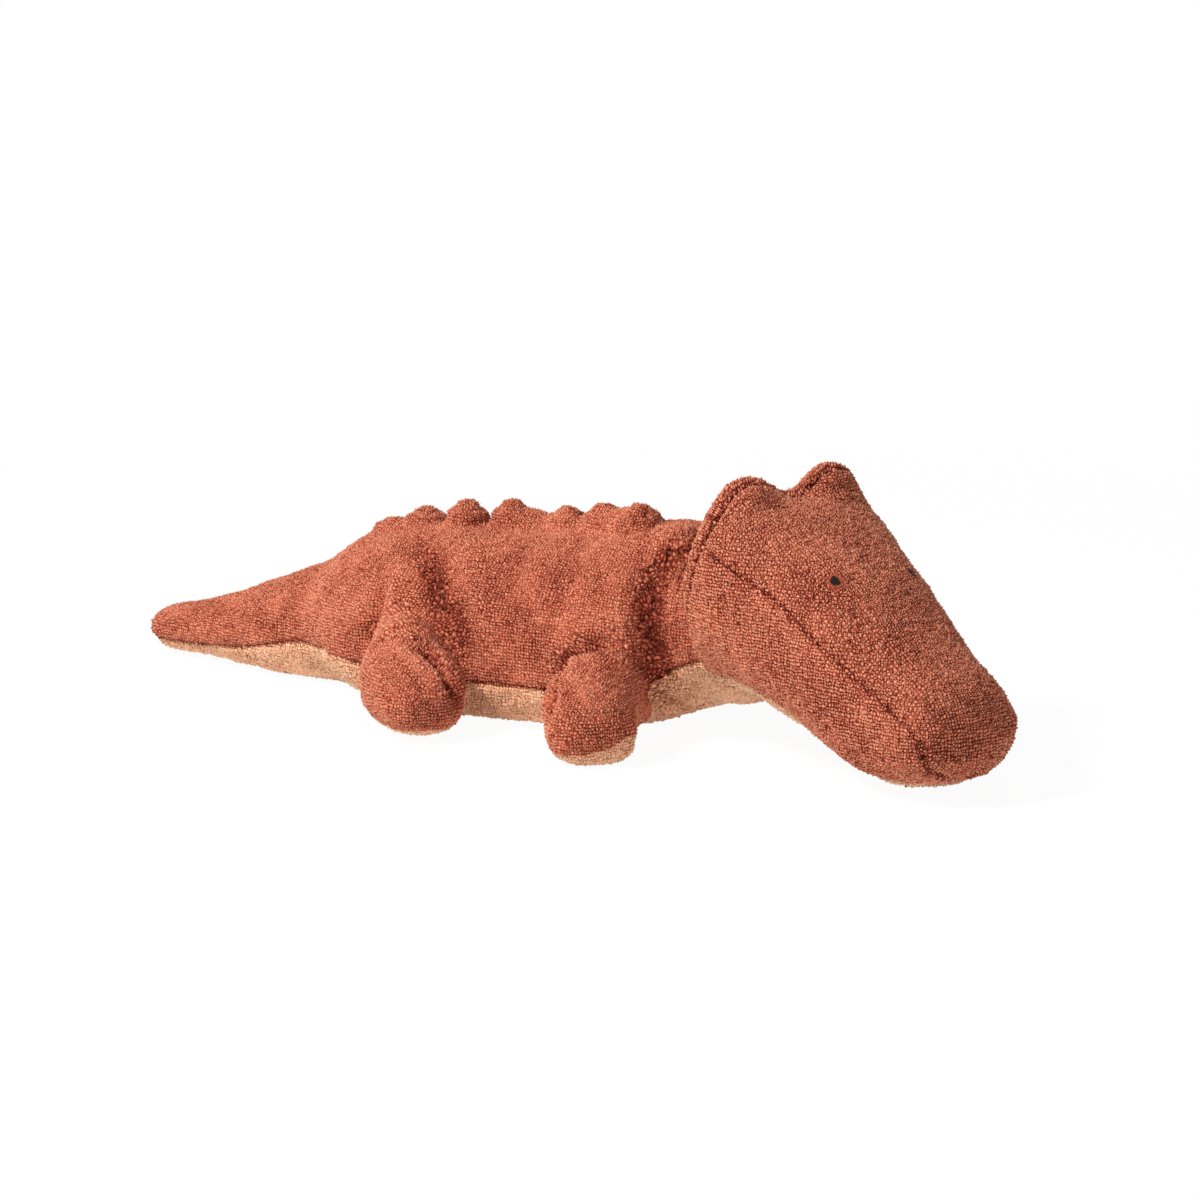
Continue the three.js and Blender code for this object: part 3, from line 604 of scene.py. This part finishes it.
# A distance field read between its grid points
def sampled(space, values, points):
    place = points / voxel - space.low
    cell = np.clip(np.floor(place).astype(int), 0, np.array(space.shape) - 2)
    t = place - cell
    total = 0
    for i, weight in cellCorners(cell, t):
        total = total + values[i[:, 0], i[:, 1], i[:, 2]] * weight
    return total


def treeOf(points, tris):
    return BVHTree.FromPolygons(points.tolist(), tris.tolist())


# Height of a seam drawn in side view, and signed distance from it: positive above
def seamSide(points, line):
    line = np.array(line, float)
    above = points[:, 2] - np.interp(points[:, 0], line[:, 0], line[:, 1])
    flat = points[:, [0, 2]]
    gap, _ = nearLine(flat, line)
    return gap * np.where(above < 0, -1, 1)


# The points that the kept triangles use, and those triangles numbered by them
def part(tris, keep):
    tris = tris[keep]
    used, index = np.unique(tris, return_inverse=True)
    return used, index.reshape(-1, 3)


# One piece of cloth or fill as a Blender mesh. cloth gives each point's place on the flat cloth, in millimetres.
def piece(name, points, tris, material, cloth=None, reliefAndShade=None):
    mesh = meshOf(name, points * millimetre, tris)
    if cloth is not None:
        mesh.attributes.new("cloth", "FLOAT_VECTOR", "POINT").data.foreach_set("vector", cloth.ravel())
    if reliefAndShade is not None:
        mesh.attributes.new("reliefAndShade", "FLOAT", "POINT").data.foreach_set("value", reliefAndShade)
    mesh.materials.append(material)
    return addObject(name, mesh)


# Materials
def linear(code):
    channels = [int(code[k:k + 2], 16) / 255 for k in (1, 3, 5)]
    return [c / 12.92 if c <= 0.04045 else ((c + 0.055) / 1.055) ** 2.4 for c in channels] + [1]


def newMaterial(name):
    material = bpy.data.materials.new(name)
    material.use_nodes = True
    material.node_tree.nodes.clear()
    return material, material.node_tree


# Adds a node. Settings name its properties or sockets, and a socket's value may be another node's output.
def addNode(tree, kind, stops=(), **settings):
    node = tree.nodes.new("ShaderNode" + kind)
    for k, (place, color) in enumerate(stops):
        stop = node.color_ramp.elements[k] if k < 2 else node.color_ramp.elements.new(place)
        stop.position, stop.color = place, linear(color)
    for key, value in settings.items():
        if hasattr(node, key):
            setattr(node, key, value)
            continue
        name = key.replace("_", " ")
        socket = node.inputs[int(key[1:])] if key[0] == "i" and key[1:].isdigit() else node.inputs[name]
        if isinstance(value, bpy.types.NodeSocket):
            tree.links.new(value, socket)
        else:
            socket.default_value = value
    return node


# Looped cotton terry: the loops are shaped in the mesh, and their tone runs from painted shade in the gaps to
# painted light on the tips.
# Fibres about 0.7 mm apart, worn patches about 30 mm wide and a soft sheen come on top.
def terry(name, gap, body, tip):
    material, tree = newMaterial(name)
    place = addNode(tree, "Attribute", attribute_name="cloth").outputs["Vector"]
    fibre = addNode(tree, "TexNoise", Vector=place, Scale=1.5, Detail=2.0, Roughness=0.7).outputs[0]
    patches = addNode(tree, "TexNoise", Vector=place, Scale=0.035, Detail=2.0).outputs[0]
    loops = addNode(tree, "Attribute", attribute_name="reliefAndShade").outputs["Fac"]
    loops = addNode(tree, "Math", operation="MULTIPLY_ADD", i0=fibre, i1=0.7, i2=loops).outputs[0]
    flat = addNode(tree, "MapRange", i0=patches, i1=0.35, i2=0.7, i3=-0.4, i4=-0.22).outputs[0]
    shade = addNode(tree, "Math", operation="ADD", i0=loops, i1=flat).outputs[0]
    # Colour stops: painted shade in the gaps, the cloth's own colour, painted light on the loop tips
    color = addNode(tree, "ValToRGB", [(0.1, gap), (0.82, tip), (0.3, body)], i0=shade).outputs[0]
    bump = addNode(tree, "Bump", Strength=0.6, Distance=0.0003, Height=fibre).outputs[0]
    shader = addNode(tree, "BsdfPrincipled", Base_Color=color, Roughness=0.95, Normal=bump, Sheen_Weight=0.25,
                     Sheen_Roughness=0.5, Sheen_Tint=linear(tip), Specular_IOR_Level=0.15)
    addNode(tree, "OutputMaterial", Surface=shader.outputs[0])
    return material


# Carded polyester fibre, matt and off-white, in wisps about 2.4 mm wide
def fibreFill(name):
    material, tree = newMaterial(name)
    place = addNode(tree, "TexCoord").outputs["Object"]
    wisps = addNode(tree, "TexNoise", Vector=place, Scale=420.0, Detail=4.0, Distortion=2.0).outputs[0]
    color = addNode(tree, "ValToRGB", [(0.3, "#cfc8b9"), (0.8, "#f4f0e8")], i0=wisps).outputs[0]
    bump = addNode(tree, "Bump", Strength=0.6, Distance=0.001, Height=wisps).outputs[0]
    shader = addNode(tree, "BsdfPrincipled", Base_Color=color, Roughness=1.0, Normal=bump)
    addNode(tree, "OutputMaterial", Surface=shader.outputs[0])
    return material


# Satin stitch in black rayon thread. Its ridges, 0.45 mm apart, are in the mesh, and the threads in them are
# about 0.12 mm apart.
def satinStitch(name):
    material, tree = newMaterial(name)
    place = addNode(tree, "Attribute", attribute_name="cloth").outputs["Vector"]
    ridges = addNode(tree, "TexWave", Vector=place, Scale=0.45, Distortion=0.6, Detail=1.0).outputs["Fac"]
    color = addNode(tree, "ValToRGB", [(0.2, "#0c0a09"), (0.9, "#26211e")], i0=ridges).outputs[0]
    bump = addNode(tree, "Bump", Strength=0.5, Distance=0.0002, Height=ridges).outputs[0]
    shader = addNode(tree, "BsdfPrincipled", Base_Color=color, Roughness=0.7, Normal=bump, Specular_IOR_Level=0.2)
    addNode(tree, "OutputMaterial", Surface=shader.outputs[0])
    return material


# Each cloth's colours: painted shade in the gaps, its own colour, and painted light on the loop tips
terracotta = terry("terracotta terry", "#571a0e", "#b4543c", "#eb9e7d")
sand = terry("sand terry", "#884f33", "#eaa57e", "#ffd8b4")
stuffing = fibreFill("polyester fill")
# The two cloths, with the slot of each
warmCloth = (terracotta, "terracotta_terry")
paleCloth = (sand, "sand_terry")
thread = satinStitch("black thread")
print("materials made")

# Body: torso, tail, legs and scutes as one field, so that the cloth runs over each root in a soft corner.
# Widths of these corners in millimetres, and of those at the floor and at the neck's hollow in the head
corner = {"tail": 14, "leg": 12, "scute": 4.5, "ridge": 6, "floor": 3, "brow": 8, "socket": 3}
body = Space([-284, -128, -12], [164, 128, 122])
core = body.distance(torsoForm())
tailField = body.distance(limbForm(tail["rows"], tail["pivot"], tail["radius"], tailPlace, tail["tip"]))
whole = joined(core, tailField, corner["tail"])


def legBody(name, side):
    return f"leg_{name}_" + ("left" if side > 0 else "right")


legFields = {(name, side): body.distance(legForm(name, side)) for name in ("front", "rear") for side in (1, -1)}
for values in legFields.values():
    whole = joined(whole, values, corner["leg"])
scuteFields = [body.distance(scuteForm(*place)) for place in scute["places"]]
for values in scuteFields:
    whole = joined(whole, values, corner["scute"])
for ridge in scute["ridges"]:
    whole = joined(whole, body.distance(scuteForm(*ridge)), corner["ridge"])
whole = cutBy(whole, body.z, corner["floor"])
points, faces = body.surface(whole)
bodyTree = treeOf(points, np.vstack([faces[:, :3], faces[:, [0, 2, 3]]]))
coarse = len(points)
points, tris = smoothSurface(points + shaken(coarse, seed=9), faces, 1)
print("body surface", len(points), len(tris))

bellySeam = [[-234, 21.2], [-114, 22.3], [5, 22.8], [53, 23.3], [77, 28.6], [94, 40.3], [113, 47.7], [197, 47.7]]
tailSeam = [[-288.8, 8.3], [-230.8, 9.0], [-192.1, 12.8], [-146.9, 23.0], [-82.4, 24.3]]
tailStart = -118.0


def bodySeams(points):
    belly = seamSide(points, bellySeam)
    under = seamSide(points, tailSeam)
    isTail = points[:, 0] < tailStart
    return belly, under, isTail


# Below zero where a leg or a scute begins: nearer to its own form than to the torso's, and close to it
def outsideOf(field, points, reach):
    own = sampled(body, field, points)
    return np.maximum(own - sampled(body, core, points), own - reach)


# A front sole's seam climbs round the front of the foot
def soleSide(points, name):
    x, _, _ = leg["pivots"][name]
    climb = np.array(leg["soleClimb"][name], float)
    return points[:, 2] - np.interp(points[:, 0] - x, climb[:, 0], climb[:, 1])


carried = terryLoops(len(points), coarse, seed=11)
for find in (
    lambda p: seamSide(p, bellySeam),
    lambda p: seamSide(p, tailSeam),
    lambda p: p[:, 0] - tailStart,
    lambda p: np.where(p[:, 0] > 0, soleSide(p, "front"), soleSide(p, "rear")),
    lambda p: p[:, 1],
    *[lambda p, f=f: outsideOf(f, p, leg["edge"]) for f in legFields.values()],
    *[lambda p, f=f: outsideOf(f, p, scute["edge"]) for f in scuteFields],
):
    points, tris, carried = cutAlong(points, tris, find(points), carried)
print("body cut along its seams", len(points), len(tris))

normals = normalsOf(points, tris)

# Folds, each as pixels of the view on the near side, its width and its depth in millimetres
folds = [
    ([(388, 576), (378, 610), (364, 646)], 5.5, 3.4),
    ([(424, 546), (437, 590), (447, 625), (456, 655)], 12, 5.4),
    ([(372, 652), (388, 637), (406, 631), (428, 640)], 2.8, 2.8),
    ([(418, 648), (434, 662), (446, 676), (455, 700)], 5, 7),
    ([(470, 575), (464, 610), (468, 650)], 8, 2),
    ([(520, 545), (505, 600), (512, 655)], 9, 1.4),
    ([(580, 540), (560, 590), (548, 640)], 8, 1.6),
    ([(650, 548), (622, 568), (600, 600)], 11, 1.5),
    ([(548, 716), (553, 690), (565, 666), (583, 652), (610, 644)], 5.5, 7.5),
    ([(598, 644), (620, 654), (640, 668), (652, 690)], 3.5, 1.8),
    ([(692, 546), (668, 560), (652, 590), (650, 630), (658, 665), (674, 696)], 10, 6.2),
    ([(692, 552), (681, 578), (678, 605), (681, 635), (689, 656)], 1.8, 2.6),
    ([(636, 690), (664, 704), (690, 708)], 5, 3.4),
]
# The same folds on the far side, set off a little, wider and shallower
farFold = {"shift": [4, 0, 2], "depth": 0.8, "width": 1.15}
move = np.zeros(len(points))
for pixels, width, depth in folds:
    line = seenAt(bodyTree, finerLine(pixels))
    if len(line) > 1:
        move += foldDepth(points, line, width, depth)
        line = np.array(line) * [1, -1, 1] + farFold["shift"]
        move += farFold["depth"] * foldDepth(points, line, width * farFold["width"], depth)

# Where the head turns over the shoulders the cloth lies low, and lower still on the far side
shoulder = {"start": 70, "end": 84, "highest": 3, "lower": 2.4, "lowerFar": 1.4, "farFrom": 20}
farther = shoulder["lower"] + shoulder["lowerFar"] * smoothStep(0, shoulder["farFrom"], points[:, 1])
move = np.minimum(move, shoulder["highest"]
                  - smoothStep(shoulder["start"], shoulder["end"], points[:, 0]) * farther)
# Per millimetre of a fold's depth, down to the deepest: how much flatter the loops lie, and how much painted shade
# darkens them
foldLoop = {"deepest": 6, "flatter": 0.1, "paintedFoldShade": 0.014}
inFold = np.clip(-move, 0, foldLoop["deepest"])
move += lumpy(points, (0.55, 24), (0.35, 11), seed=3)

belly, under, isTail = bodySeams(points)
onLeg = np.min([outsideOf(f, points, leg["edge"]) for f in legFields.values()], 0) < 0
scuteGap = [outsideOf(f, points, scute["edge"]) for f in scuteFields]
scuteClear, backSeamFrom = 3, 30
clear = ~onLeg & (np.min(scuteGap, 0) > scuteClear)
bellySide = clear & ~isTail
backSeamAt = clear & (points[:, 2] > backSeamFrom)
move += np.where(bellySide, grooveDepth(belly, *groove["belly"]), 0)
move += np.where(isTail, grooveDepth(under, *groove["tail"]), 0)
move += np.where(backSeamAt, grooveDepth(points[:, 1], *groove["back"]), 0)
# Painted shade along the belly, tail and back seams, taken off the loops' tone
reliefAndShade = carried["tip"] - np.where(bellySide, seamShade(belly), 0) - np.where(isTail, seamShade(under), 0)
reliefAndShade -= np.where(backSeamAt, seamShade(points[:, 1]), 0)
# Loops lie flatter down in a fold, and painted shade darkens them there
reliefAndShade = reliefAndShade * (1 - foldLoop["flatter"] * inFold) - foldLoop["paintedFoldShade"] * inFold
# Each triangle goes to the piece where it lay before the folds moved it
centres = points[tris].mean(1)
points = points + normals * (move + loopHeight * (reliefAndShade - loop["level"]))[:, None] + carried["drift"]
points[:, 2] = np.maximum(points[:, 2], 0)


# Place on the flat cloth: along the form, and round it from the back seam
def clothAround(points, along, centre, across=1):
    y, z = points[:, across] - centre[0], points[:, 2] - centre[1]
    return np.stack([along, np.arctan2(y, z) * np.hypot(y, z), 0 * along], 1)


def torsoCloth(points):
    _, widest, _ = sectionAt(points[:, 0])
    return clothAround(points, points[:, 0], (0, widest))


def legCloth(points, name, side):
    x, y, _ = leg["pivots"][name]
    along = points[:, 1] * side - y
    shift = leg["toeForward"][name] * np.clip(along / leg["reach"][name], 0, 1.2) ** leg["bend"][name]
    ahead = points[:, 0] - x - shift
    return clothAround(np.stack([ahead, 0 * shift, points[:, 2]], 1), along * 1.1, (0, 22), 0)


belly, under, isTail = bodySeams(centres)
legOf = np.full(len(tris), -1)
for k, field in enumerate(legFields.values()):
    legOf[outsideOf(field, centres, leg["edge"]) < -0.02] = k
scuteOf = np.full(len(tris), -1)
for k, field in enumerate(scuteFields):
    scuteOf[outsideOf(field, centres, scute["edge"]) < -0.02] = k
plain = (legOf < 0) & (scuteOf < 0)
left = centres[:, 1] > 0


def addCloth(name, keep, kind, nodes, cloth, placed=lambda points: points):
    material, slot = kind
    used, index = part(tris, keep)
    item = piece(name, placed(points[used]), index, material, cloth(points[used]), reliefAndShade[used])
    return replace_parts(item, *nodes)


for name, keep, kind, node in (
    ("side_panel_left_cloth", plain & ~isTail & (belly > 0) & left, warmCloth, "side_panel_left"),
    ("side_panel_right_cloth", plain & ~isTail & (belly > 0) & ~left, warmCloth, "side_panel_right"),
    ("belly_panel_cloth", plain & ~isTail & (belly <= 0), paleCloth, "belly_panel"),
    ("tail_panel_left_cloth", plain & isTail & (under > 0) & left, warmCloth, "tail_panel_left"),
    ("tail_panel_right_cloth", plain & isTail & (under > 0) & ~left, warmCloth, "tail_panel_right"),
    ("tail_under_panel_cloth", plain & isTail & (under <= 0), paleCloth, "tail_under_panel"),
):
    item = addCloth(name, keep, kind, [node], torsoCloth)
    if node.startswith("tail"):
        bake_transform(item)
    else:
        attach(item, "torso")
for k in range(len(scute["places"])):
    item = addCloth(f"scute_{k + 1}_cloth", scuteOf == k, warmCloth, [f"scute_{k + 1}"], torsoCloth)
    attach(item, "torso")
for k, (name, side) in enumerate(legFields):
    full = legBody(name, side)
    above = soleSide(centres, name) > 0
    for half, keep, kind in (("upper", above, warmCloth), ("sole", ~above, paleCloth)):
        item = addCloth(f"{full}_{half}_cloth", (legOf == k) & keep, kind, [f"{full}_{half}"],
                        lambda p: legCloth(p, name, side))
        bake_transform(item)
print("body pieces made")


# Stuffing: lumpy fibre fill, one piece for each CAD node it stands for. Millimetres: how deep it lies in each
# part, the neck's ball, how much smaller the balls at the roots are, the gap round them, and its lumps
filling = {"torso": 10.0, "leg": 9, "tail": 5, "head": 4.5, "neck": 39.5, "short": 2, "gap": 1.5, "lump": 0.5,
           "grain": 9}


def addFill(name, space, values, ride, node, seed, placed=lambda points: points):
    points, faces = space.surface(values)
    points, tris = smoothSurface(points, faces, 0)
    lumps = filling["lump"] * softNoise(points, filling["grain"], seed)
    points = points + normalsOf(points, tris) * lumps[:, None]
    item = piece(name, placed(points), tris, stuffing)
    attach(item, ride)
    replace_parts(item, node)


def ballField(space, centre, radius):
    x, y, z = centre
    return np.sqrt((space.x - x) ** 2 + (space.y - y) ** 2 + (space.z - z) ** 2) - radius


torsoInside = np.maximum(np.maximum(core, -body.z) + filling["torso"], body.x - torso["neck"][0] + filling["short"])
neckBall = ballField(body, (torso["neck"][0], 0, torso["neck"][1]), filling["neck"])
tailBall = ballField(body, tail["pivot"], tail["radius"] - filling["short"])
for ball in (neckBall, tailBall):
    torsoInside = np.maximum(torsoInside, filling["gap"] - ball)
tailInside = np.maximum(np.maximum(tailField, -body.z) + filling["tail"],
                        np.where(body.x < tail["pivot"][0], -99, tailBall))
for k, ((name, side), field) in enumerate(legFields.items()):
    x, y, z = leg["pivots"][name]
    ball = ballField(body, (x, side * y, z), leg["radius"][name] - filling["short"])
    torsoInside = np.maximum(torsoInside, filling["gap"] - ball)
    inner = np.maximum(np.maximum(field, -body.z) + filling["leg"], np.where(side * body.y > y, -99, ball))
    full = legBody(name, side)
    addFill(full + "_fill", body, inner, full, full + "_stuffing", 30 + k)
addFill("torso_fill", body, torsoInside, "torso", "torso_stuffing", 20)
addFill("tail_fill", body, tailInside, "tail", "tail_stuffing", 21)
addFill("neck_fill", body, neckBall, "neck", "neck_stuffing", 22)
print("fill made")

# Head, worked out straight ahead of the middle of the neck and then turned
room = Space([-12, -64, -64], [190, 64, 92])
skull = room.distance(headForm())
for spec in head["brows"]:
    skull = joined(skull, room.distance(browForm(spec)), corner["brow"])
skull = cutBy(skull, room.z + head["neck"][2], corner["floor"])
socket = ballField(room, (0, 0, 0), head["socket"])
outer = cutBy(skull, socket, corner["socket"])
points, faces = room.surface(outer)
coarse = len(points)
points, tris = smoothSurface(points + shaken(coarse, seed=10), faces, 1)


def headLine(shares):
    return [[head["back"] + x * head["length"], z * head["top"] - head["neck"][2]] for x, z in shares]


chinLine = headLine(head["chinSeam"])
topLine = headLine(head["topSeam"])
noseEnd = topLine[-1][0]
topLine += [[noseEnd + 0.5, np.interp(noseEnd, *np.array(chinLine).T)], [260, chinLine[-1][1]]]


def backSide(points):
    height, along = np.array(head["backSeam"]).T
    return points[:, 0] - np.interp(points[:, 2], height, along)


def hollowSide(points):
    return np.minimum(backSide(points), np.linalg.norm(points, axis=1) - head["socket"] - head["lining"])


carried = terryLoops(len(points), coarse, seed=12)
for find in (hollowSide, lambda p: seamSide(p, topLine), lambda p: seamSide(p, chinLine), lambda p: p[:, 1]):
    points, tris, carried = cutAlong(points, tris, find(points), carried)
print("head cut along its seams", len(points), len(tris))


def turned(points, degrees):
    turn = math.radians(degrees)
    x, y, z = points.T
    return np.stack([x * math.cos(turn) - y * math.sin(turn), x * math.sin(turn) + y * math.cos(turn), z], 1)


def headToWorld(points):
    return turned(np.array(points, float), head["turn"]) + head["neck"]


def headFromWorld(points):
    return turned(np.array(points, float) - head["neck"], -head["turn"])


# Eyes: place, half-sizes, height of the dome, turn in degrees, how deep the edge sinks, height of the ridges and
# their radians per millimetre, the cloth pressed flat round them, stretch of the pattern
eye = {"place": (100.7, {1: 24.8, -1: 22.1}), "half": (2.75, 2.25), "rise": 0.8, "turn": -18.0, "sink": 0.25,
       "ridge": 0.1, "ridgeRate": 14, "pressed": (3.0, 4.6), "pressedRelief": 0.3, "stretch": 6}
normals = normalsOf(points, tris)
headTree = treeOf(headToWorld(points), tris)
creases = [
    ([(914, 732), (923, 742), (927, 755), (925, 770)], 2.2, 2.2),
    ([(905, 738), (913, 750), (912, 764)], 4, 1.3),
    ([(940, 742), (934, 758), (938, 776)], 5, 1.2),
]
move = lumpy(points, (0.5, 26), (0.3, 11), seed=5)
for pixels, width, depth in creases:
    line = seenAt(headTree, finerLine(pixels))
    if len(line) > 1:
        line = headFromWorld(line)
        move += foldDepth(points, line, width, depth)
        move += foldDepth(points, line * [1, -1, 1], width, depth)
onBack = backSide(points)
bankGap = 4.5
outside = np.linalg.norm(points, axis=1) > head["socket"] + head["loopsFrom"]
aboveChin = seamSide(points, chinLine) > 0
topGap = np.where((onBack > 0) & aboveChin, seamSide(points, topLine), 99)
chinGap = np.where(onBack > 0, seamSide(points, chinLine), 99)
backGap = np.where(outside & aboveChin, onBack, 99)
move += grooveDepth(backGap, *groove["headBack"]) - grooveDepth(backGap + bankGap, *groove["headBank"])
move += grooveDepth(topGap, *groove["headTop"]) + grooveDepth(chinGap, *groove["chin"])
# Painted shade along the head's back, top and chin seams
reliefAndShade = carried["tip"] - seamShade(backGap) - 0.7 * (seamShade(topGap) + seamShade(chinGap))
for side in (1, -1):
    gap = np.hypot(points[:, 0] - eye["place"][0], points[:, 1] - side * eye["place"][1][side])
    pressed = np.where(points[:, 2] > 0, 1 - smoothStep(*eye["pressed"], gap), 0)
    reliefAndShade += (eye["pressedRelief"] - reliefAndShade) * pressed
height = np.where(outside, loopHeight * (reliefAndShade - loop["level"]), 0.2 * reliefAndShade)
centres = points[tris].mean(1)
points = points + normals * (move + height)[:, None] + carried["drift"]
points[:, 2] = np.maximum(points[:, 2], -head["neck"][2])
# The head's loops get stronger painted shade in the gaps and painted light on the tips
reliefAndShade = 1.25 * reliefAndShade - 0.1

isBack = hollowSide(centres) < 0
overTop, overChin = seamSide(centres, topLine) > 0, seamSide(centres, chinLine) > 0
left = centres[:, 1] > 0
for name, keep, kind in (
    ("head_back_panel", isBack, warmCloth),
    ("head_top_gusset", ~isBack & overTop & overChin, warmCloth),
    ("head_side_left", ~isBack & ~overTop & overChin & left, warmCloth),
    ("head_side_right", ~isBack & ~overTop & overChin & ~left, warmCloth),
    ("chin_panel", ~isBack & ~overChin, paleCloth),
):
    item = addCloth(name + "_cloth", keep, kind, [name], lambda p: clothAround(p, p[:, 0], (0, -8)), headToWorld)
    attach(item, "head")

filled = np.maximum(skull + filling["head"], filling["head"] - socket)
addFill("head_fill", room, filled, "head", "head_stuffing", 23, headToWorld)
print("head pieces made")

# Eyes: satin-stitched ovals, slightly domed, that lie on the cloth
localTree = treeOf(points, tris)


def addEye(name, side):
    down = Vector((0, 0, -1))
    rings, around = 7, 32
    grid, place = [], []
    turn = math.radians(eye["turn"] * side)
    for r in range(rings + 1):
        share = r / rings
        for a in range(around if r else 1):
            angle = 2 * pi * a / around
            x, y = share * eye["half"][0] * math.cos(angle), share * eye["half"][1] * math.sin(angle)
            wave = eye["ridge"] * math.sin(x * eye["ridgeRate"]) * (share < 0.95)
            px = eye["place"][0] + x * math.cos(turn) - y * math.sin(turn)
            py = side * eye["place"][1][side] + x * math.sin(turn) + y * math.cos(turn)
            at, normal, _, _ = localTree.ray_cast(Vector((px, py, 100)), down)
            lift = eye["rise"] * math.sqrt(max(0, 1 - share**2)) + wave - eye["sink"]
            grid.append(at + normal * lift)
            place.append([x * eye["stretch"], y, 0])
    faces = [(0, 1 + a, 1 + (a + 1) % around) for a in range(around)]
    for r in range(1, rings):
        for a in range(around):
            p, q = 1 + (r - 1) * around + a, 1 + (r - 1) * around + (a + 1) % around
            faces += [(p, p + around, q + around), (p, q + around, q)]
    item = piece(name + "_stitch", headToWorld(np.array(grid)), np.array(faces), thread, np.array(place))
    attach(item, "head")
    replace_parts(item, name)


addEye("eye_left", 1)
addEye("eye_right", -1)
print("eyes made")


# Floor: a pale disc that fades into the white background, in metres, and soft light from the upper left
floor = {"radius": 1.6, "height": -0.0004, "fade": (0.5, 1.1), "white": 0.93, "paper": 0.86, "glow": 0.3}


def addFloor():
    mesh = bpy.data.meshes.new("floor")
    around = 96
    ring = [(floor["radius"] * math.cos(2 * pi * k / around), floor["radius"] * math.sin(2 * pi * k / around),
             floor["height"]) for k in range(around)]
    mesh.from_pydata(ring, [], [list(range(around))])
    material, tree = newMaterial("floor paper")
    place = addNode(tree, "TexCoord").outputs["Object"]
    away = addNode(tree, "VectorMath", operation="LENGTH", i0=place).outputs["Value"]
    shown = addNode(tree, "MapRange", interpolation_type="SMOOTHSTEP", i0=away, i1=floor["fade"][0],
                    i2=floor["fade"][1], i3=1.0, i4=0.0).outputs[0]
    paper = addNode(tree, "BsdfPrincipled", Base_Color=[floor["paper"]] * 3 + [1], Roughness=1.0,
                    Specular_IOR_Level=0.0, Emission_Color=linear("#ffffff"), Emission_Strength=floor["glow"])
    clear = addNode(tree, "BsdfTransparent")
    glow = addNode(tree, "Emission")
    seen = addNode(tree, "LightPath").outputs["Is Camera Ray"]
    share = addNode(tree, "Math", operation="MULTIPLY", i0=seen, i1=floor["white"]).outputs[0]
    paper = addNode(tree, "MixShader", i0=share, i1=paper.outputs[0], i2=glow.outputs[0])
    mixed = addNode(tree, "MixShader", i0=shown, i1=clear.outputs[0], i2=paper.outputs[0])
    addNode(tree, "OutputMaterial", Surface=mixed.outputs[0])
    mesh.materials.append(material)
    item = addObject("floor", mesh)


def addLight(name, toward, distance, size, power):
    right, ahead, _ = cameraAxes()
    way = unit(right * toward[0] - ahead * toward[1] + np.array([0, 0, 1]) * toward[2])
    data = bpy.data.lights.new(name, "AREA")
    data.shape = "DISK"
    data.size = size
    data.energy = power
    item = addObject(name, data)
    item.location = Vector(way * distance) + Vector((0, 0, 0.05))
    item.rotation_euler = Vector(-way).to_track_quat("-Z", "Y").to_euler()


def addWorld(strength):
    world = bpy.data.worlds.new("studio")
    world.use_nodes = True
    tree = world.node_tree
    tree.nodes.clear()
    path = addNode(tree, "LightPath").outputs
    seen = addNode(tree, "Math", operation="MAXIMUM", i0=path["Is Camera Ray"],
                   i1=path["Is Transmission Ray"]).outputs[0]
    seen = addNode(tree, "Math", operation="MAXIMUM", i0=seen, i1=path["Is Glossy Ray"]).outputs[0]
    power = addNode(tree, "MapRange", i0=seen, i1=0.0, i2=1.0, i3=strength, i4=1.0).outputs[0]
    back = addNode(tree, "Background", i0=linear("#ffffff"), i1=power)
    addNode(tree, "OutputWorld", Surface=back.outputs[0])
    bpy.context.scene.world = world


# Lights: direction to the right, towards the camera and up, distance and size in metres, and watts
lights = {"key": ((-0.78, 0.48, 0.84), 1.9, 0.4, 34.8), "fill": ((0.5, 1.0, 0.4), 2.4, 1.6, 5.5)}
addFloor()
for name, spec in lights.items():
    addLight(name, *spec)
addWorld(strength=0.32)
bpy.context.scene.view_settings.view_transform = "Standard"
print("stage and lights made")
